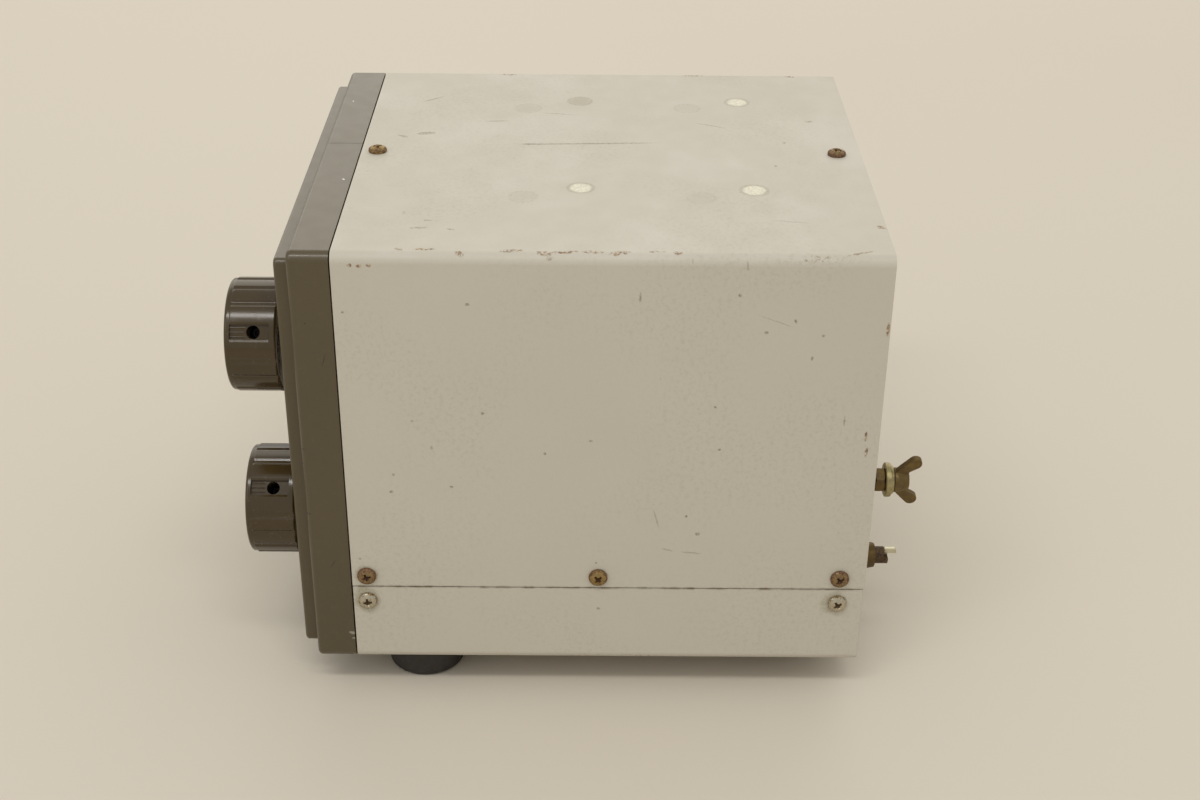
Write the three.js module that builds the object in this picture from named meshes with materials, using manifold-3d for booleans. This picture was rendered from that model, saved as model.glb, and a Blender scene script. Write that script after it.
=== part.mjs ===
// A bench function generator in a folded sheet-metal case, millimetres, +Z up, front panel towards -Y.
// Pieces are laid out in the case's own frame: X from the middle of the width, Y back from the covers'
// front edge, Z up from the underside of the lower cover. The whole group is then moved so that the
// origin is the middle of the footprint at the height of the feet's soles.
import * as THREE from "three";
import { mergeVertices } from "three/addons/utils/BufferGeometryUtils.js";
import Module from "manifold-3d";

const wasm = await Module();
wasm.setup();

// ---------- Driving dimensions ----------
const CASE = { width: 173, depth: 175, height: 155, sheet: 1.2, bend: 3.4, lowerDepth: 174.6 };
const SEAM = { z: 30.7, gap: 0.4 };
const CLEAR = 0.2;                    // gap between pieces that rest against each other
const FRAME = { front: 13.8, wall: 2.5, gap: 0.4 };
const RIM = { front: 18.6, side: 5, top: 4.4, bottom: 3.6, wall: 2.6 };
const PANEL = { front: 17, thick: 2, gap: 0.3 };
const SUB_PANEL = { front: 11.6, thick: 1.2, flange: 14 };
const REAR_PANEL = { back: 174, thick: 1.5, flange: 15 };
const RAIL = { outer: 85.1, thick: 1.2, bottom: 18.6, top: 41.5, flange: 14 };
const CHASSIS = { bottom: 20, thick: 1.2, halfWidth: 82 };
const COVER_HOLE = 1.7;
const SCREW = { head: 3.2, headHeight: 2.1, shank: 1.45, length: 7 };
const UPPER_ROW = { z: 35.3, ys: { front: 5.1, middle: 83.8, rear: 166.1 } };
const LOWER_ROW = { z: 25.1, ys: { front: 5, rear: 166 } };
const TOP_ROW = { front: 5.7, rear: 166.4 };
const FOOT = { height: 13, topRadius: 15, soleRadius: 13.2, y: 22.3, frontX: 66.5, rearX: 50 };

const KNOB = { radius: 18.9, length: 17.1, flutes: 18, fluteDepth: 0.6, bore: 3.15, boreDepth: 12 };
const POCKET = { width: 6.4, depth: 1.5, fromBack: 2.3, lip: 1.9, holeFromBack: 7.7, hole: 2.2 };
const SHAFT = 3;                      // radius of every control's shaft
const BUSHING = { radius: 4.6, front: 17.9 };
const RANGE = { x: 60.4, z: 113.9, back: 20.2, screwAngle: 28.6 };
const LEVEL = { x: 60.4, z: 49.8, back: 19, screwAngle: 42.7 };
const DIAL = { x: -30, z: 98, radius: 33, back: 18.2, thick: 2, knobRadius: 17, knobLength: 13 };
const OFFSET = { x: 22, z: 58, back: 18.2, radius: 8, length: 10 };
const KEY = { width: 12, height: 8.5, z: 44, xs: { sine: -62, triangle: -46, square: -30 } };
const POWER = { x: -62, z: 28.5, size: 11 };
const KEY_TRAVEL = { front: 22.5, back: 12, stemBack: 2, bankFront: 7.5 };
const LAMP = { x: 22, z: 128, radius: 3 };
const JACK = { z: 27.5, mainX: 20, syncX: -8, tip: 29.8 };

const GROUND = { x: 66, z: 62.3, stud: 2.5, tilt: 11.7 };
const TRIM = { x: 66, z: 31.2, shaft: 3 };
const INLET = { x: -50, z: 52, width: 28, height: 20, depth: 17 };
const FUSE = { x: -12, z: 52 };

const HALF = CASE.width / 2;
const REARMOST = 193.9;               // tips of the ground terminal's wings
const FRONTMOST = RANGE.back + KNOB.length;

// ---------- Materials ----------
const material = (color, roughness, metalness) =>
  new THREE.MeshStandardMaterial({ color, roughness, metalness });
const COVER_PAINT = material(0xb9b3a0, 0.6, 0.1);
const FRAME_PAINT = material(0x5a4e3a, 0.45, 0.2);
const PANEL_PAINT = material(0x6b6454, 0.5, 0.2);
const STEEL = material(0xa8a8a4, 0.4, 0.9);
const RUSTY = material(0x7d5f3a, 0.6, 0.7);
const NICKEL = material(0xc9c6bd, 0.3, 0.9);
const BRASS = material(0x9a7a45, 0.45, 0.8);
const RUBBER = material(0x24211d, 0.9, 0);
const KNOB_PLASTIC = material(0x45413a, 0.5, 0);
const KEY_PLASTIC = material(0xd8d3c4, 0.45, 0);
const BLACK_PLASTIC = material(0x1d1c1a, 0.5, 0);
const LENS = material(0xb3261c, 0.2, 0);
const BOARD = material(0x3d5a34, 0.6, 0);
const IRON = material(0x4a4845, 0.6, 0.6);

// ---------- Solid modelling helpers ----------
function toSolid(geometry) {
  const bare = geometry.clone();
  bare.deleteAttribute("normal");
  bare.deleteAttribute("uv");
  const merged = mergeVertices(bare, 1e-4);
  return new wasm.Manifold(new wasm.Mesh({
    numProp: 3,
    vertProperties: new Float32Array(merged.attributes.position.array),
    triVerts: new Uint32Array(merged.index.array),
  }));
}

function toGeometry(solid) {
  const mesh = solid.getMesh();
  const geometry = new THREE.BufferGeometry();
  geometry.setAttribute("position", new THREE.BufferAttribute(mesh.vertProperties, 3));
  geometry.setIndex(new THREE.BufferAttribute(mesh.triVerts, 1));
  geometry.computeVertexNormals();
  return geometry;
}

function join(...geometries) {
  return toGeometry(geometries.map(toSolid).reduce((whole, piece) => whole.add(piece)));
}

function cut(geometry, ...tools) {
  return toGeometry(tools.map(toSolid).reduce((whole, tool) => whole.subtract(tool), toSolid(geometry)));
}

function block(x0, x1, y0, y1, z0, z1) {
  const box = new THREE.BoxGeometry(x1 - x0, y1 - y0, z1 - z0);
  return box.translate((x0 + x1) / 2, (y0 + y1) / 2, (z0 + z1) / 2);
}

function rodX(radius, x0, x1, y, z, sides = 16) {
  const rod = new THREE.CylinderGeometry(radius, radius, x1 - x0, sides);
  return rod.rotateZ(Math.PI / 2).translate((x0 + x1) / 2, y, z);
}

function rodY(radius, y0, y1, x, z, sides = 20) {
  const rod = new THREE.CylinderGeometry(radius, radius, y1 - y0, sides);
  return rod.translate(x, (y0 + y1) / 2, z);
}

function rodZ(radius, z0, z1, x, y, sides = 16) {
  const rod = new THREE.CylinderGeometry(radius, radius, z1 - z0, sides);
  return rod.rotateX(Math.PI / 2).translate(x, y, (z0 + z1) / 2);
}

// An outline drawn in X and Z, drawn out along Y from y0 to y1.
function alongY(outline, y0, y1, curveSegments = 5) {
  const prism = new THREE.ExtrudeGeometry(outline, { depth: y1 - y0, bevelEnabled: false, curveSegments });
  return prism.rotateX(Math.PI / 2).translate(0, y1, 0);
}

// A profile of [radius, height] pairs turned about +Z, from the axis below up and round to the axis above.
function turned(profile, sides = 24) {
  const points = profile.map(([radius, height]) => new THREE.Vector2(radius, height));
  return new THREE.LatheGeometry(points, sides).rotateX(Math.PI / 2);
}

// Turn a piece built along +Z so that +Z points out of the front, out of the rear or out of a side.
const facingFront = (geometry) => geometry.rotateX(Math.PI / 2);
const facingRear = (geometry) => geometry.rotateX(-Math.PI / 2);
const facingSide = (geometry, side) => geometry.rotateY((side * Math.PI) / 2);

function roundedRectangle(x0, x1, z0, z1, radius) {
  const outline = new THREE.Shape();
  outline.moveTo(x0 + radius, z0);
  outline.lineTo(x1 - radius, z0);
  outline.absarc(x1 - radius, z0 + radius, radius, -Math.PI / 2, 0);
  outline.lineTo(x1, z1 - radius);
  outline.absarc(x1 - radius, z1 - radius, radius, 0, Math.PI / 2);
  outline.lineTo(x0 + radius, z1);
  outline.absarc(x0 + radius, z1 - radius, radius, Math.PI / 2, Math.PI);
  outline.lineTo(x0, z0 + radius);
  outline.absarc(x0 + radius, z0 + radius, radius, Math.PI, 1.5 * Math.PI);
  return outline;
}

// A rectangular ring: the outer outline less the inner one.
function ring(outer, inner, y0, y1) {
  outer.holes.push(inner);
  return alongY(outer, y0, y1);
}

// ---------- The assembly ----------
const generator = new THREE.Group();
generator.name = "function_generator";
generator.position.set(0, -(REARMOST - FRONTMOST) / 2, FOOT.height);

function add(name, geometry, look, x = 0, y = 0, z = 0, turn = 0) {
  const mesh = new THREE.Mesh(geometry, look);
  mesh.name = name;
  mesh.position.set(x, y, z);
  mesh.rotation.y = turn;
  generator.add(mesh);
}

// ---------- Covers ----------
// One sheet folded along two edges: a channel open towards -Z, its legs ending at the given height.
function channelOutline(height, legEnd) {
  const { sheet, bend } = CASE;
  const inner = HALF - sheet;
  const centre = HALF - bend;
  const outline = new THREE.Shape();
  outline.moveTo(-HALF, legEnd);
  outline.lineTo(-inner, legEnd);
  outline.lineTo(-inner, height - bend);
  outline.absarc(-centre, height - bend, bend - sheet, Math.PI, Math.PI / 2, true);
  outline.lineTo(centre, height - sheet);
  outline.absarc(centre, height - bend, bend - sheet, Math.PI / 2, 0, true);
  outline.lineTo(inner, legEnd);
  outline.lineTo(HALF, legEnd);
  outline.lineTo(HALF, height - bend);
  outline.absarc(centre, height - bend, bend, 0, Math.PI / 2);
  outline.lineTo(-centre, height);
  outline.absarc(-centre, height - bend, bend, Math.PI / 2, Math.PI);
  return outline;
}

const sideHoles = (row) => Object.values(row.ys).map(
  (y) => rodX(COVER_HOLE, -HALF - 1, HALF + 1, y, row.z));

function upperCover() {
  const shell = alongY(channelOutline(CASE.height, SEAM.z + SEAM.gap / 2), 0, CASE.depth);
  const topHoles = Object.values(TOP_ROW).map(
    (y) => rodZ(COVER_HOLE, CASE.height - 5, CASE.height + 1, 0, y));
  return cut(shell, ...sideHoles(UPPER_ROW), ...topHoles);
}

function lowerCover() {
  const shell = alongY(channelOutline(0, -(SEAM.z - SEAM.gap / 2)), 0, CASE.lowerDepth);
  return cut(shell.rotateY(Math.PI), ...sideHoles(LOWER_ROW));
}

add("upper_cover", upperCover(), COVER_PAINT);
add("lower_cover", lowerCover(), COVER_PAINT);

// ---------- Front frame ----------
const RIM_BOX = { x: HALF - RIM.side, z0: RIM.bottom, z1: CASE.height - RIM.top };
const WINDOW = { x: RIM_BOX.x - RIM.wall, z0: RIM_BOX.z0 + RIM.wall, z1: RIM_BOX.z1 - RIM.wall };

function frontFrame() {
  const outer = () => roundedRectangle(-HALF, HALF, 0, CASE.height, CASE.bend);
  const window = () => roundedRectangle(-WINDOW.x, WINDOW.x, WINDOW.z0, WINDOW.z1, 1);
  const { wall } = FRAME;
  const inside = roundedRectangle(-HALF + wall, HALF - wall, wall, CASE.height - wall, 1);
  const band = ring(outer(), inside, -FRAME.front + 1, -FRAME.gap);
  const face = ring(outer(), window(), -FRAME.front, -FRAME.front + 2);
  const rimOutline = roundedRectangle(-RIM_BOX.x, RIM_BOX.x, RIM_BOX.z0, RIM_BOX.z1, 2);
  const rim = ring(rimOutline, window(), -RIM.front, -FRAME.front + 1);
  return join(band, face, rim);
}

add("front_frame", frontFrame(), FRAME_PAINT);

// ---------- Front panel and the steel panel behind it ----------
const CONTROLS = [RANGE, LEVEL, DIAL, OFFSET];
const JACK_XS = [JACK.mainX, JACK.syncX];

// Tools that open every control, key, lamp and jack hole through a panel between y0 and y1.
function panelOpenings(y0, y1) {
  const slack = 0.5;
  const keyHoles = Object.values(KEY.xs).map((x) => block(
    x - KEY.width / 2 - slack, x + KEY.width / 2 + slack, y0, y1,
    KEY.z - KEY.height / 2 - slack, KEY.z + KEY.height / 2 + slack));
  const half = POWER.size / 2 + slack;
  return [
    ...CONTROLS.map(({ x, z }) => rodY(BUSHING.radius + slack, y0, y1, x, z)),
    ...keyHoles,
    block(POWER.x - half, POWER.x + half, y0, y1, POWER.z - half, POWER.z + half),
    rodY(LAMP.radius + slack, y0, y1, LAMP.x, LAMP.z, 16),
    ...JACK_XS.map((x) => rodY(4.75 + slack, y0, y1, x, JACK.z)),
  ];
}

function frontPanel() {
  const { front, thick, gap } = PANEL;
  const outline = roundedRectangle(
    -WINDOW.x + gap, WINDOW.x - gap, WINDOW.z0 + gap, WINDOW.z1 - gap, 1);
  const plate = alongY(outline, -front, -front + thick, 2);
  return cut(plate, ...panelOpenings(-front - 1, -front + thick + 1));
}

function subPanel() {
  const { front, thick, flange } = SUB_PANEL;
  const side = HALF - FRAME.wall - 0.4;
  const top = CASE.height - FRAME.wall - 0.4;
  const bottom = FRAME.wall + 0.4;
  const back = -front + thick;
  const plate = cut(block(-side, side, -front, back, bottom, top), ...panelOpenings(-front - 1, back + 1));
  const flanges = [
    block(-side, -side + thick, back - 0.5, flange, 46, 140),
    block(side - thick, side, back - 0.5, flange, 46, 140),
    block(-60, 60, back - 0.5, flange, top - thick, top),
  ];
  const spacers = [[-70, 140], [70, 140], [-74, 34], [74, 20]].map(([x, z]) => rodY(
    3, -PANEL.front + PANEL.thick + CLEAR, -front + 0.5, x, z, 12));
  const screwHole = rodZ(COVER_HOLE, top - 3, top + 1, 0, TOP_ROW.front, 12);
  return cut(join(plate, ...flanges, ...spacers), screwHole);
}

add("front_panel", frontPanel(), PANEL_PAINT);
add("sub_panel", subPanel(), STEEL);

// ---------- Rear panel ----------
function rearPanel() {
  const { back, thick, flange } = REAR_PANEL;
  const side = HALF - CASE.sheet - 0.4;
  const top = CASE.height - CASE.sheet - 0.4;
  const bottom = CASE.sheet + 0.4;
  const plate = alongY(roundedRectangle(-side, side, bottom, top, 2), back - thick, back, 2);
  const topFlange = block(-70, 70, back - thick - flange, back - thick + 0.5, top - thick, top);
  const holes = [
    rodZ(COVER_HOLE, top - 4, top + 1, 0, TOP_ROW.rear, 12),
    rodY(GROUND.stud + 0.3, back - 5, back + 1, GROUND.x, GROUND.z),
    rodY(3.8, back - 5, back + 1, TRIM.x, TRIM.z),
    rodY(6.4, back - 5, back + 1, FUSE.x, FUSE.z),
    block(
      INLET.x - INLET.width / 2 - 0.4, INLET.x + INLET.width / 2 + 0.4, back - 5, back + 1,
      INLET.z - INLET.height / 2 - 0.4, INLET.z + INLET.height / 2 + 0.4),
  ];
  return cut(join(plate, topFlange), ...holes);
}

add("rear_panel", rearPanel(), COVER_PAINT);

// ---------- Chassis ----------
// An angle that runs the depth of the case; both covers are screwed to its upright leg.
function sideRail(side) {
  const { outer, thick, bottom, top, flange } = RAIL;
  const front = 0.2;
  const back = REAR_PANEL.back - REAR_PANEL.thick - CLEAR;
  const span = (a, b) => [Math.min(side * a, side * b), Math.max(side * a, side * b)];
  const upright = block(...span(outer - thick, outer), front, back, bottom, top);
  const foot = block(...span(outer - flange, outer), front, back, bottom, bottom + thick);
  const holes = [UPPER_ROW, LOWER_ROW].flatMap((row) => Object.values(row.ys).map(
    (y) => rodX(COVER_HOLE, ...span(outer - 3, outer + 1), y, row.z, 12)));
  return cut(join(upright, foot), ...holes);
}

const BOARD_BOX = { x: 68, y0: 24, y1: 98, z: 28.2, thick: 1.6 };
const BOARD_CORNERS = [-1, 1].flatMap((s) => [BOARD_BOX.y0 + 5, BOARD_BOX.y1 - 5].map(
  (y) => [s * (BOARD_BOX.x - 6), y]));

// The floor of the instrument, with four raised bosses that carry the circuit board.
function chassisPlate() {
  const { bottom, thick, halfWidth } = CHASSIS;
  const front = -SUB_PANEL.front + SUB_PANEL.thick + CLEAR;
  const back = REAR_PANEL.back - REAR_PANEL.thick - CLEAR;
  const plate = block(-halfWidth, halfWidth, front, back, bottom, bottom + thick);
  const bosses = BOARD_CORNERS.map(([x, y]) => rodZ(3, bottom + 0.5, BOARD_BOX.z - CLEAR, x, y, 12));
  return join(plate, ...bosses);
}

add("left_side_rail", sideRail(-1), STEEL);
add("right_side_rail", sideRail(1), STEEL);
add("chassis_plate", chassisPlate(), STEEL);

// ---------- Cover screws ----------
function panHeadScrew() {
  const { head, headHeight, shank, length } = SCREW;
  return turned([
    [0, -length], [shank, -length], [shank, 0],
    [head, 0], [head, 0.8], [head - 0.9, headHeight - 0.3], [0, headHeight],
  ], 12);
}

for (const [side, sign] of [["left", -1], ["right", 1]]) {
  for (const [row, prefix, look] of [[UPPER_ROW, "upper", RUSTY], [LOWER_ROW, "lower", NICKEL]]) {
    for (const [place, y] of Object.entries(row.ys)) {
      const screw = facingSide(panHeadScrew(), sign);
      add(`${prefix}_cover_screw_${side}_${place}`, screw, look, sign * HALF, y, row.z);
    }
  }
}
for (const [place, y] of Object.entries(TOP_ROW)) {
  add(`top_cover_screw_${place}`, panHeadScrew(), RUSTY, 0, y, CASE.height);
}

// ---------- Feet ----------
function foot() {
  const { height, topRadius, soleRadius } = FOOT;
  return turned([
    [0, -height], [soleRadius - 1, -height], [soleRadius, -height + 1.2],
    [topRadius, -2], [topRadius - 0.4, 0], [0, 0],
  ], 28);
}

for (const [end, x, y] of [["front", FOOT.frontX, FOOT.y], ["rear", FOOT.rearX, CASE.depth - FOOT.y]]) {
  add(`foot_${end}_left`, foot(), RUBBER, -x, y, 0);
  add(`foot_${end}_right`, foot(), RUBBER, x, y, 0);
}

// ---------- Control knobs ----------
// Broad ribs with shallow flutes between them: every pitch is a rib, a slope down and the flute's floor.
function flutedOutline(radius, flutes, depth) {
  const outline = new THREE.Shape();
  const step = (2 * Math.PI) / flutes;
  const floor = radius - depth;
  for (let i = 0; i < flutes; i++) {
    for (const [share, r] of [[0, radius], [0.62, radius], [0.74, floor], [0.88, floor]]) {
      const angle = (i + share - 0.31) * step;
      outline[i + share ? "lineTo" : "moveTo"](r * Math.cos(angle), r * Math.sin(angle));
    }
  }
  return outline;
}

function flutedKnob(radius, length, bore, boreDepth) {
  const outline = flutedOutline(radius, KNOB.flutes, KNOB.fluteDepth);
  const body = new THREE.ExtrudeGeometry(outline, { depth: length, bevelEnabled: false });
  return cut(body, rodZ(bore, -1, boreDepth, 0, 0, 20));
}

// A knob clamped by a grub screw, whose hole sits in a flat pocket on the +X side.
function clampedKnob() {
  const knob = flutedKnob(KNOB.radius, KNOB.length, KNOB.bore, KNOB.boreDepth);
  const { radius, length } = KNOB;
  const { width, depth, fromBack, lip } = POCKET;
  const pocket = block(radius - depth, radius + 1, -width / 2, width / 2, fromBack, length - lip);
  const hole = rodX(POCKET.hole, 1, radius + 1, 0, POCKET.holeFromBack, 16);
  return cut(knob, pocket, hole);
}

function grubScrew() {
  return facingFront(rodX(POCKET.hole - CLEAR, SHAFT + 0.3, SHAFT + 6.3, 0, POCKET.holeFromBack, 12));
}

// The body of a potentiometer or rotary switch, open along its axis, with its threaded bushing.
function controlBody(bodyProfile) {
  const front = BUSHING.front - SUB_PANEL.front + SUB_PANEL.thick;
  const bore = SHAFT + CLEAR;
  return turned([
    [0, -8], [bore, -8], [bore, front], [BUSHING.radius - 0.4, front], [BUSHING.radius, front - 0.5],
    [BUSHING.radius, 0], ...bodyProfile,
  ].reverse(), 20);
}

const potProfile = (radius, depth) => [[radius, 0], [radius, -depth], [0, -depth]];
// Three wafers of radius 15 on a spindle of radius 7.
const waferProfile = [
  [15, 0], [15, -1.5], [7, -1.5], [7, -8], [15, -8], [15, -9.5],
  [7, -9.5], [7, -17], [15, -17], [15, -18.5], [0, -18.5],
];

const BODY_FRONT = -SUB_PANEL.front + SUB_PANEL.thick + CLEAR;
const shaftTo = (front) => turned([
  [0, -4], [SHAFT, -4], [SHAFT, front - 0.4], [SHAFT - 0.4, front], [0, front],
], 16);

function addControl(name, bodyName, place, profile, shaftFront) {
  const body = facingFront(controlBody(profile));
  add(bodyName, body, STEEL, place.x, BODY_FRONT, place.z);
  const shaft = facingFront(shaftTo(shaftFront + BODY_FRONT));
  add(`${name}_shaft`, shaft, NICKEL, place.x, BODY_FRONT, place.z);
}

for (const [name, place, bodyName, profile] of [
  ["range", RANGE, "range_switch", waferProfile],
  ["level", LEVEL, "level_potentiometer", potProfile(12, 12)],
]) {
  const turn = -THREE.MathUtils.degToRad(place.screwAngle);
  add(`${name}_knob`, facingFront(clampedKnob()), KNOB_PLASTIC, place.x, -place.back, place.z, turn);
  add(`${name}_set_screw`, grubScrew(), STEEL, place.x, -place.back, place.z, turn);
  addControl(name, bodyName, place, profile, place.back + KNOB.boreDepth - 0.5);
}

// ---------- Frequency dial ----------
function dialPlate() {
  const { radius, thick } = DIAL;
  const plate = turned([[0, 0], [radius, 0], [radius, 1.2], [radius - 3, thick], [0, thick]], 48);
  return cut(plate, rodZ(KNOB.bore, -1, thick + 1, 0, 0, 20));
}

const DIAL_KNOB_BACK = DIAL.back + DIAL.thick + CLEAR;
add("frequency_dial", facingFront(dialPlate()), NICKEL, DIAL.x, -DIAL.back, DIAL.z);
const dialKnob = facingFront(flutedKnob(DIAL.knobRadius, DIAL.knobLength, KNOB.bore, 10));
add("frequency_knob", dialKnob, KNOB_PLASTIC, DIAL.x, -DIAL_KNOB_BACK, DIAL.z);
addControl("frequency", "frequency_potentiometer", DIAL, potProfile(14, 16), DIAL_KNOB_BACK + 9.5);

// ---------- Offset control, whose plastic knob is moulded with its shaft ----------
function offsetKnob() {
  const { radius, length, back } = OFFSET;
  const tail = -(back + BODY_FRONT + 4);
  return turned([
    [0, tail], [SHAFT, tail], [SHAFT, 0],
    [radius, 0], [radius, length - 1], [radius - 1, length], [0, length],
  ], 24);
}

add("offset_knob", facingFront(offsetKnob()), KNOB_PLASTIC, OFFSET.x, -OFFSET.back, OFFSET.z);
const smallPotentiometer = turned([
  [0, -6], [SHAFT + CLEAR, -6], [SHAFT + CLEAR, 6], [BUSHING.radius, 6],
  [BUSHING.radius, 0], [8, 0], [8, -9], [0, -9],
].reverse(), 20);
add("offset_potentiometer", facingFront(smallPotentiometer), STEEL, OFFSET.x, BODY_FRONT, OFFSET.z);

// ---------- Push keys and their switches ----------
// A cap in the panel's window on a stem that slides in the switch behind.
function pushKey(width, height, stem) {
  const { front, back, stemBack } = KEY_TRAVEL;
  const cap = block(-width / 2, width / 2, -front, -back, -height / 2, height / 2);
  return join(cap, block(-stem / 2, stem / 2, -back - 1, -stemBack, -stem / 2, stem / 2));
}

function switchBody(x0, x1, z0, z1, stems, stem) {
  const front = -KEY_TRAVEL.bankFront;
  const body = block(x0, x1, front, 16, z0, z1);
  const half = stem / 2 + 0.3;
  const slots = stems.map(([x, z]) => block(x - half, x + half, front - 1, 4, z - half, z + half));
  return cut(body, ...slots);
}

for (const [wave, x] of Object.entries(KEY.xs)) {
  add(`${wave}_key`, pushKey(KEY.width, KEY.height, 3), KEY_PLASTIC, x, 0, KEY.z);
}
add("waveform_switch", switchBody(-70, -22, KEY.z - 5, KEY.z + 5,
  Object.values(KEY.xs).map((x) => [x, KEY.z]), 3), BLACK_PLASTIC);
add("power_button", pushKey(POWER.size, POWER.size, 4), BLACK_PLASTIC, POWER.x, 0, POWER.z);
add("power_switch", switchBody(POWER.x - 8, POWER.x + 8, CHASSIS.bottom + CHASSIS.thick + CLEAR, 36.5,
  [[POWER.x, POWER.z]], 4), BLACK_PLASTIC);

// ---------- Pilot lamp and output jacks ----------
function pilotLamp() {
  const { radius } = LAMP;
  return turned([
    [0, -6], [radius, -6], [radius, 2], [radius * 0.85, 3.2], [radius * 0.5, 4.2], [0, 4.6],
  ], 16);
}

function outputJack() {
  const tip = JACK.tip - PANEL.front;
  const barrel = turned([
    [0, -14], [4.7, -14], [4.7, 0.1], [7, 0.1], [7, 2], [4.8, 2], [4.8, tip],
    [4.05, tip], [4.05, tip - 8.5], [2.3, tip - 8.5], [2.3, tip - 1], [0, tip - 1],
  ], 24);
  return join(barrel, rodX(1, -5.5, -4.4, 0, tip - 3.2, 10), rodX(1, 4.4, 5.5, 0, tip - 3.2, 10));
}

add("pilot_lamp", facingFront(pilotLamp()), LENS, LAMP.x, -PANEL.front, LAMP.z);
add("main_output_jack", facingFront(outputJack()), NICKEL, JACK.mainX, -PANEL.front, JACK.z);
add("sync_output_jack", facingFront(outputJack()), NICKEL, JACK.syncX, -PANEL.front, JACK.z);

// ---------- Ground terminal ----------
const hexagon = (acrossFlats, z0, z1) => {
  const corner = acrossFlats / Math.sqrt(3);
  const prism = new THREE.CylinderGeometry(corner, corner, z1 - z0, 6);
  return prism.rotateX(Math.PI / 2).translate(0, 0, (z0 + z1) / 2);
};

// Heights along the stud, measured out from the rear panel's face.
const TERMINAL = { collar: 7.8, flange: 9.8, washer: 10.8, boss: 16.2, stud: 15.6 };

function groundStud() {
  const inner = -REAR_PANEL.thick - CLEAR;
  return join(rodZ(GROUND.stud, -8, TERMINAL.stud, 0, 0, 16), hexagon(8, inner - 4, inner));
}

function groundCollar() {
  const { collar } = TERMINAL;
  const waist = collar / 2;
  const nuts = join(
    hexagon(7.7, 0.1, waist),
    rodZ(3.4, waist - 0.1, waist + 0.6, 0, 0),
    hexagon(7.7, waist + 0.5, collar - 0.1));
  return cut(nuts, rodZ(GROUND.stud + 0.15, -1, collar + 1, 0, 0, 16));
}

// A wide flanged washer with a narrower raised face under the wing nut.
function groundWasher() {
  const { collar, flange, washer } = TERMINAL;
  const bore = GROUND.stud + 0.15;
  return turned([
    [bore, collar], [5.9, collar], [5.9, flange - 0.3], [5.6, flange], [5, flange], [5, washer - 0.1],
    [bore, washer - 0.1], [bore, collar],
  ], 24);
}

function wingNut() {
  const { washer, boss } = TERMINAL;
  const tip = { radius: 2.3, reach: 8.15, height: REARMOST - REAR_PANEL.back - 2.3 };
  const wing = (side) => {
    const outline = new THREE.Shape();
    outline.moveTo(side * 2.6, washer + 0.6);
    outline.lineTo(side * 4.6, washer + 1);
    outline.lineTo(side * (tip.reach + 1.5), tip.height - 1.7);
    outline.absarc(side * tip.reach, tip.height, tip.radius, side > 0 ? -0.8 : Math.PI + 0.8,
      side > 0 ? 2.6 : Math.PI - 2.6, side < 0);
    outline.lineTo(side * 2.6, boss - 0.4);
    const blade = new THREE.ExtrudeGeometry(outline, { depth: 2.4, bevelEnabled: false, curveSegments: 8 });
    return blade.translate(0, 0, -1.2).rotateX(Math.PI / 2);
  };
  const body = turned([[0, washer], [4.3, washer], [4.3, washer + 1.6], [3.5, boss], [0, boss]], 20);
  return cut(join(body, wing(1), wing(-1)), rodZ(GROUND.stud + 0.15, washer - 1, boss + 1, 0, 0, 16));
}

const groundPlace = [GROUND.x, REAR_PANEL.back, GROUND.z];
const wingTurn = THREE.MathUtils.degToRad(90 - GROUND.tilt);
add("ground_stud", facingRear(groundStud()), BRASS, ...groundPlace);
add("ground_collar", facingRear(groundCollar()), BRASS, ...groundPlace);
add("ground_washer", facingRear(groundWasher()), NICKEL, ...groundPlace);
add("ground_wing_nut", facingRear(wingNut()), BRASS, ...groundPlace, -wingTurn);

// ---------- Rear trimmer ----------
const TRIMMER = { bushing: 6, nut: 6.9, shaftEnd: 11.5, flatEnd: 14.5, flat: 0.9 };

function trimPotentiometer() {
  const inner = -REAR_PANEL.thick - CLEAR;
  const bore = TRIM.shaft + 0.15;
  return turned([
    [0, inner - 8], [bore, inner - 8], [bore, TRIMMER.bushing], [3.5, TRIMMER.bushing],
    [3.5, inner], [7.8, inner], [7.8, inner - 12], [0, inner - 12],
  ].reverse(), 20);
}

function trimNut() {
  const bore = 3.65;
  const skirt = turned([[0, 3.4], [4.9, 3.4], [4.3, TRIMMER.nut], [0, TRIMMER.nut]], 20);
  return cut(join(hexagon(9, 0.1, 3.6), skirt), rodZ(bore, -1, TRIMMER.nut + 1, 0, 0, 20));
}

// A round shaft whose end is cut away below the flat, leaving a tongue.
function trimShaft() {
  const { shaftEnd, flatEnd, flat } = TRIMMER;
  const round = rodZ(TRIM.shaft, -8, flatEnd, 0, 0, 20);
  return cut(round, block(-4, 4, -flat, 4, shaftEnd, flatEnd + 1));
}

const trimPlace = [TRIM.x, REAR_PANEL.back, TRIM.z];
add("trim_potentiometer", facingRear(trimPotentiometer()), STEEL, ...trimPlace);
add("trim_nut", facingRear(trimNut()), BRASS, ...trimPlace);
add("trim_shaft", facingRear(trimShaft()), NICKEL, ...trimPlace);

// ---------- Fuse holder and power inlet ----------
function fuseHolder() {
  const bore = 3.6;
  return turned([
    [0, -20], [bore, -20], [bore, 2.5], [8.3, 2.5], [8.3, 0.2], [6, 0.2], [6, -26], [0, -26],
  ].reverse(), 24);
}

function fuseCap() {
  const grip = new THREE.ExtrudeGeometry(flutedOutline(6.4, 16, 0.4), { depth: 7, bevelEnabled: false });
  return join(grip.translate(0, 0, 2.8), rodZ(3.2, -18, 3.5, 0, 0, 16));
}

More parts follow.
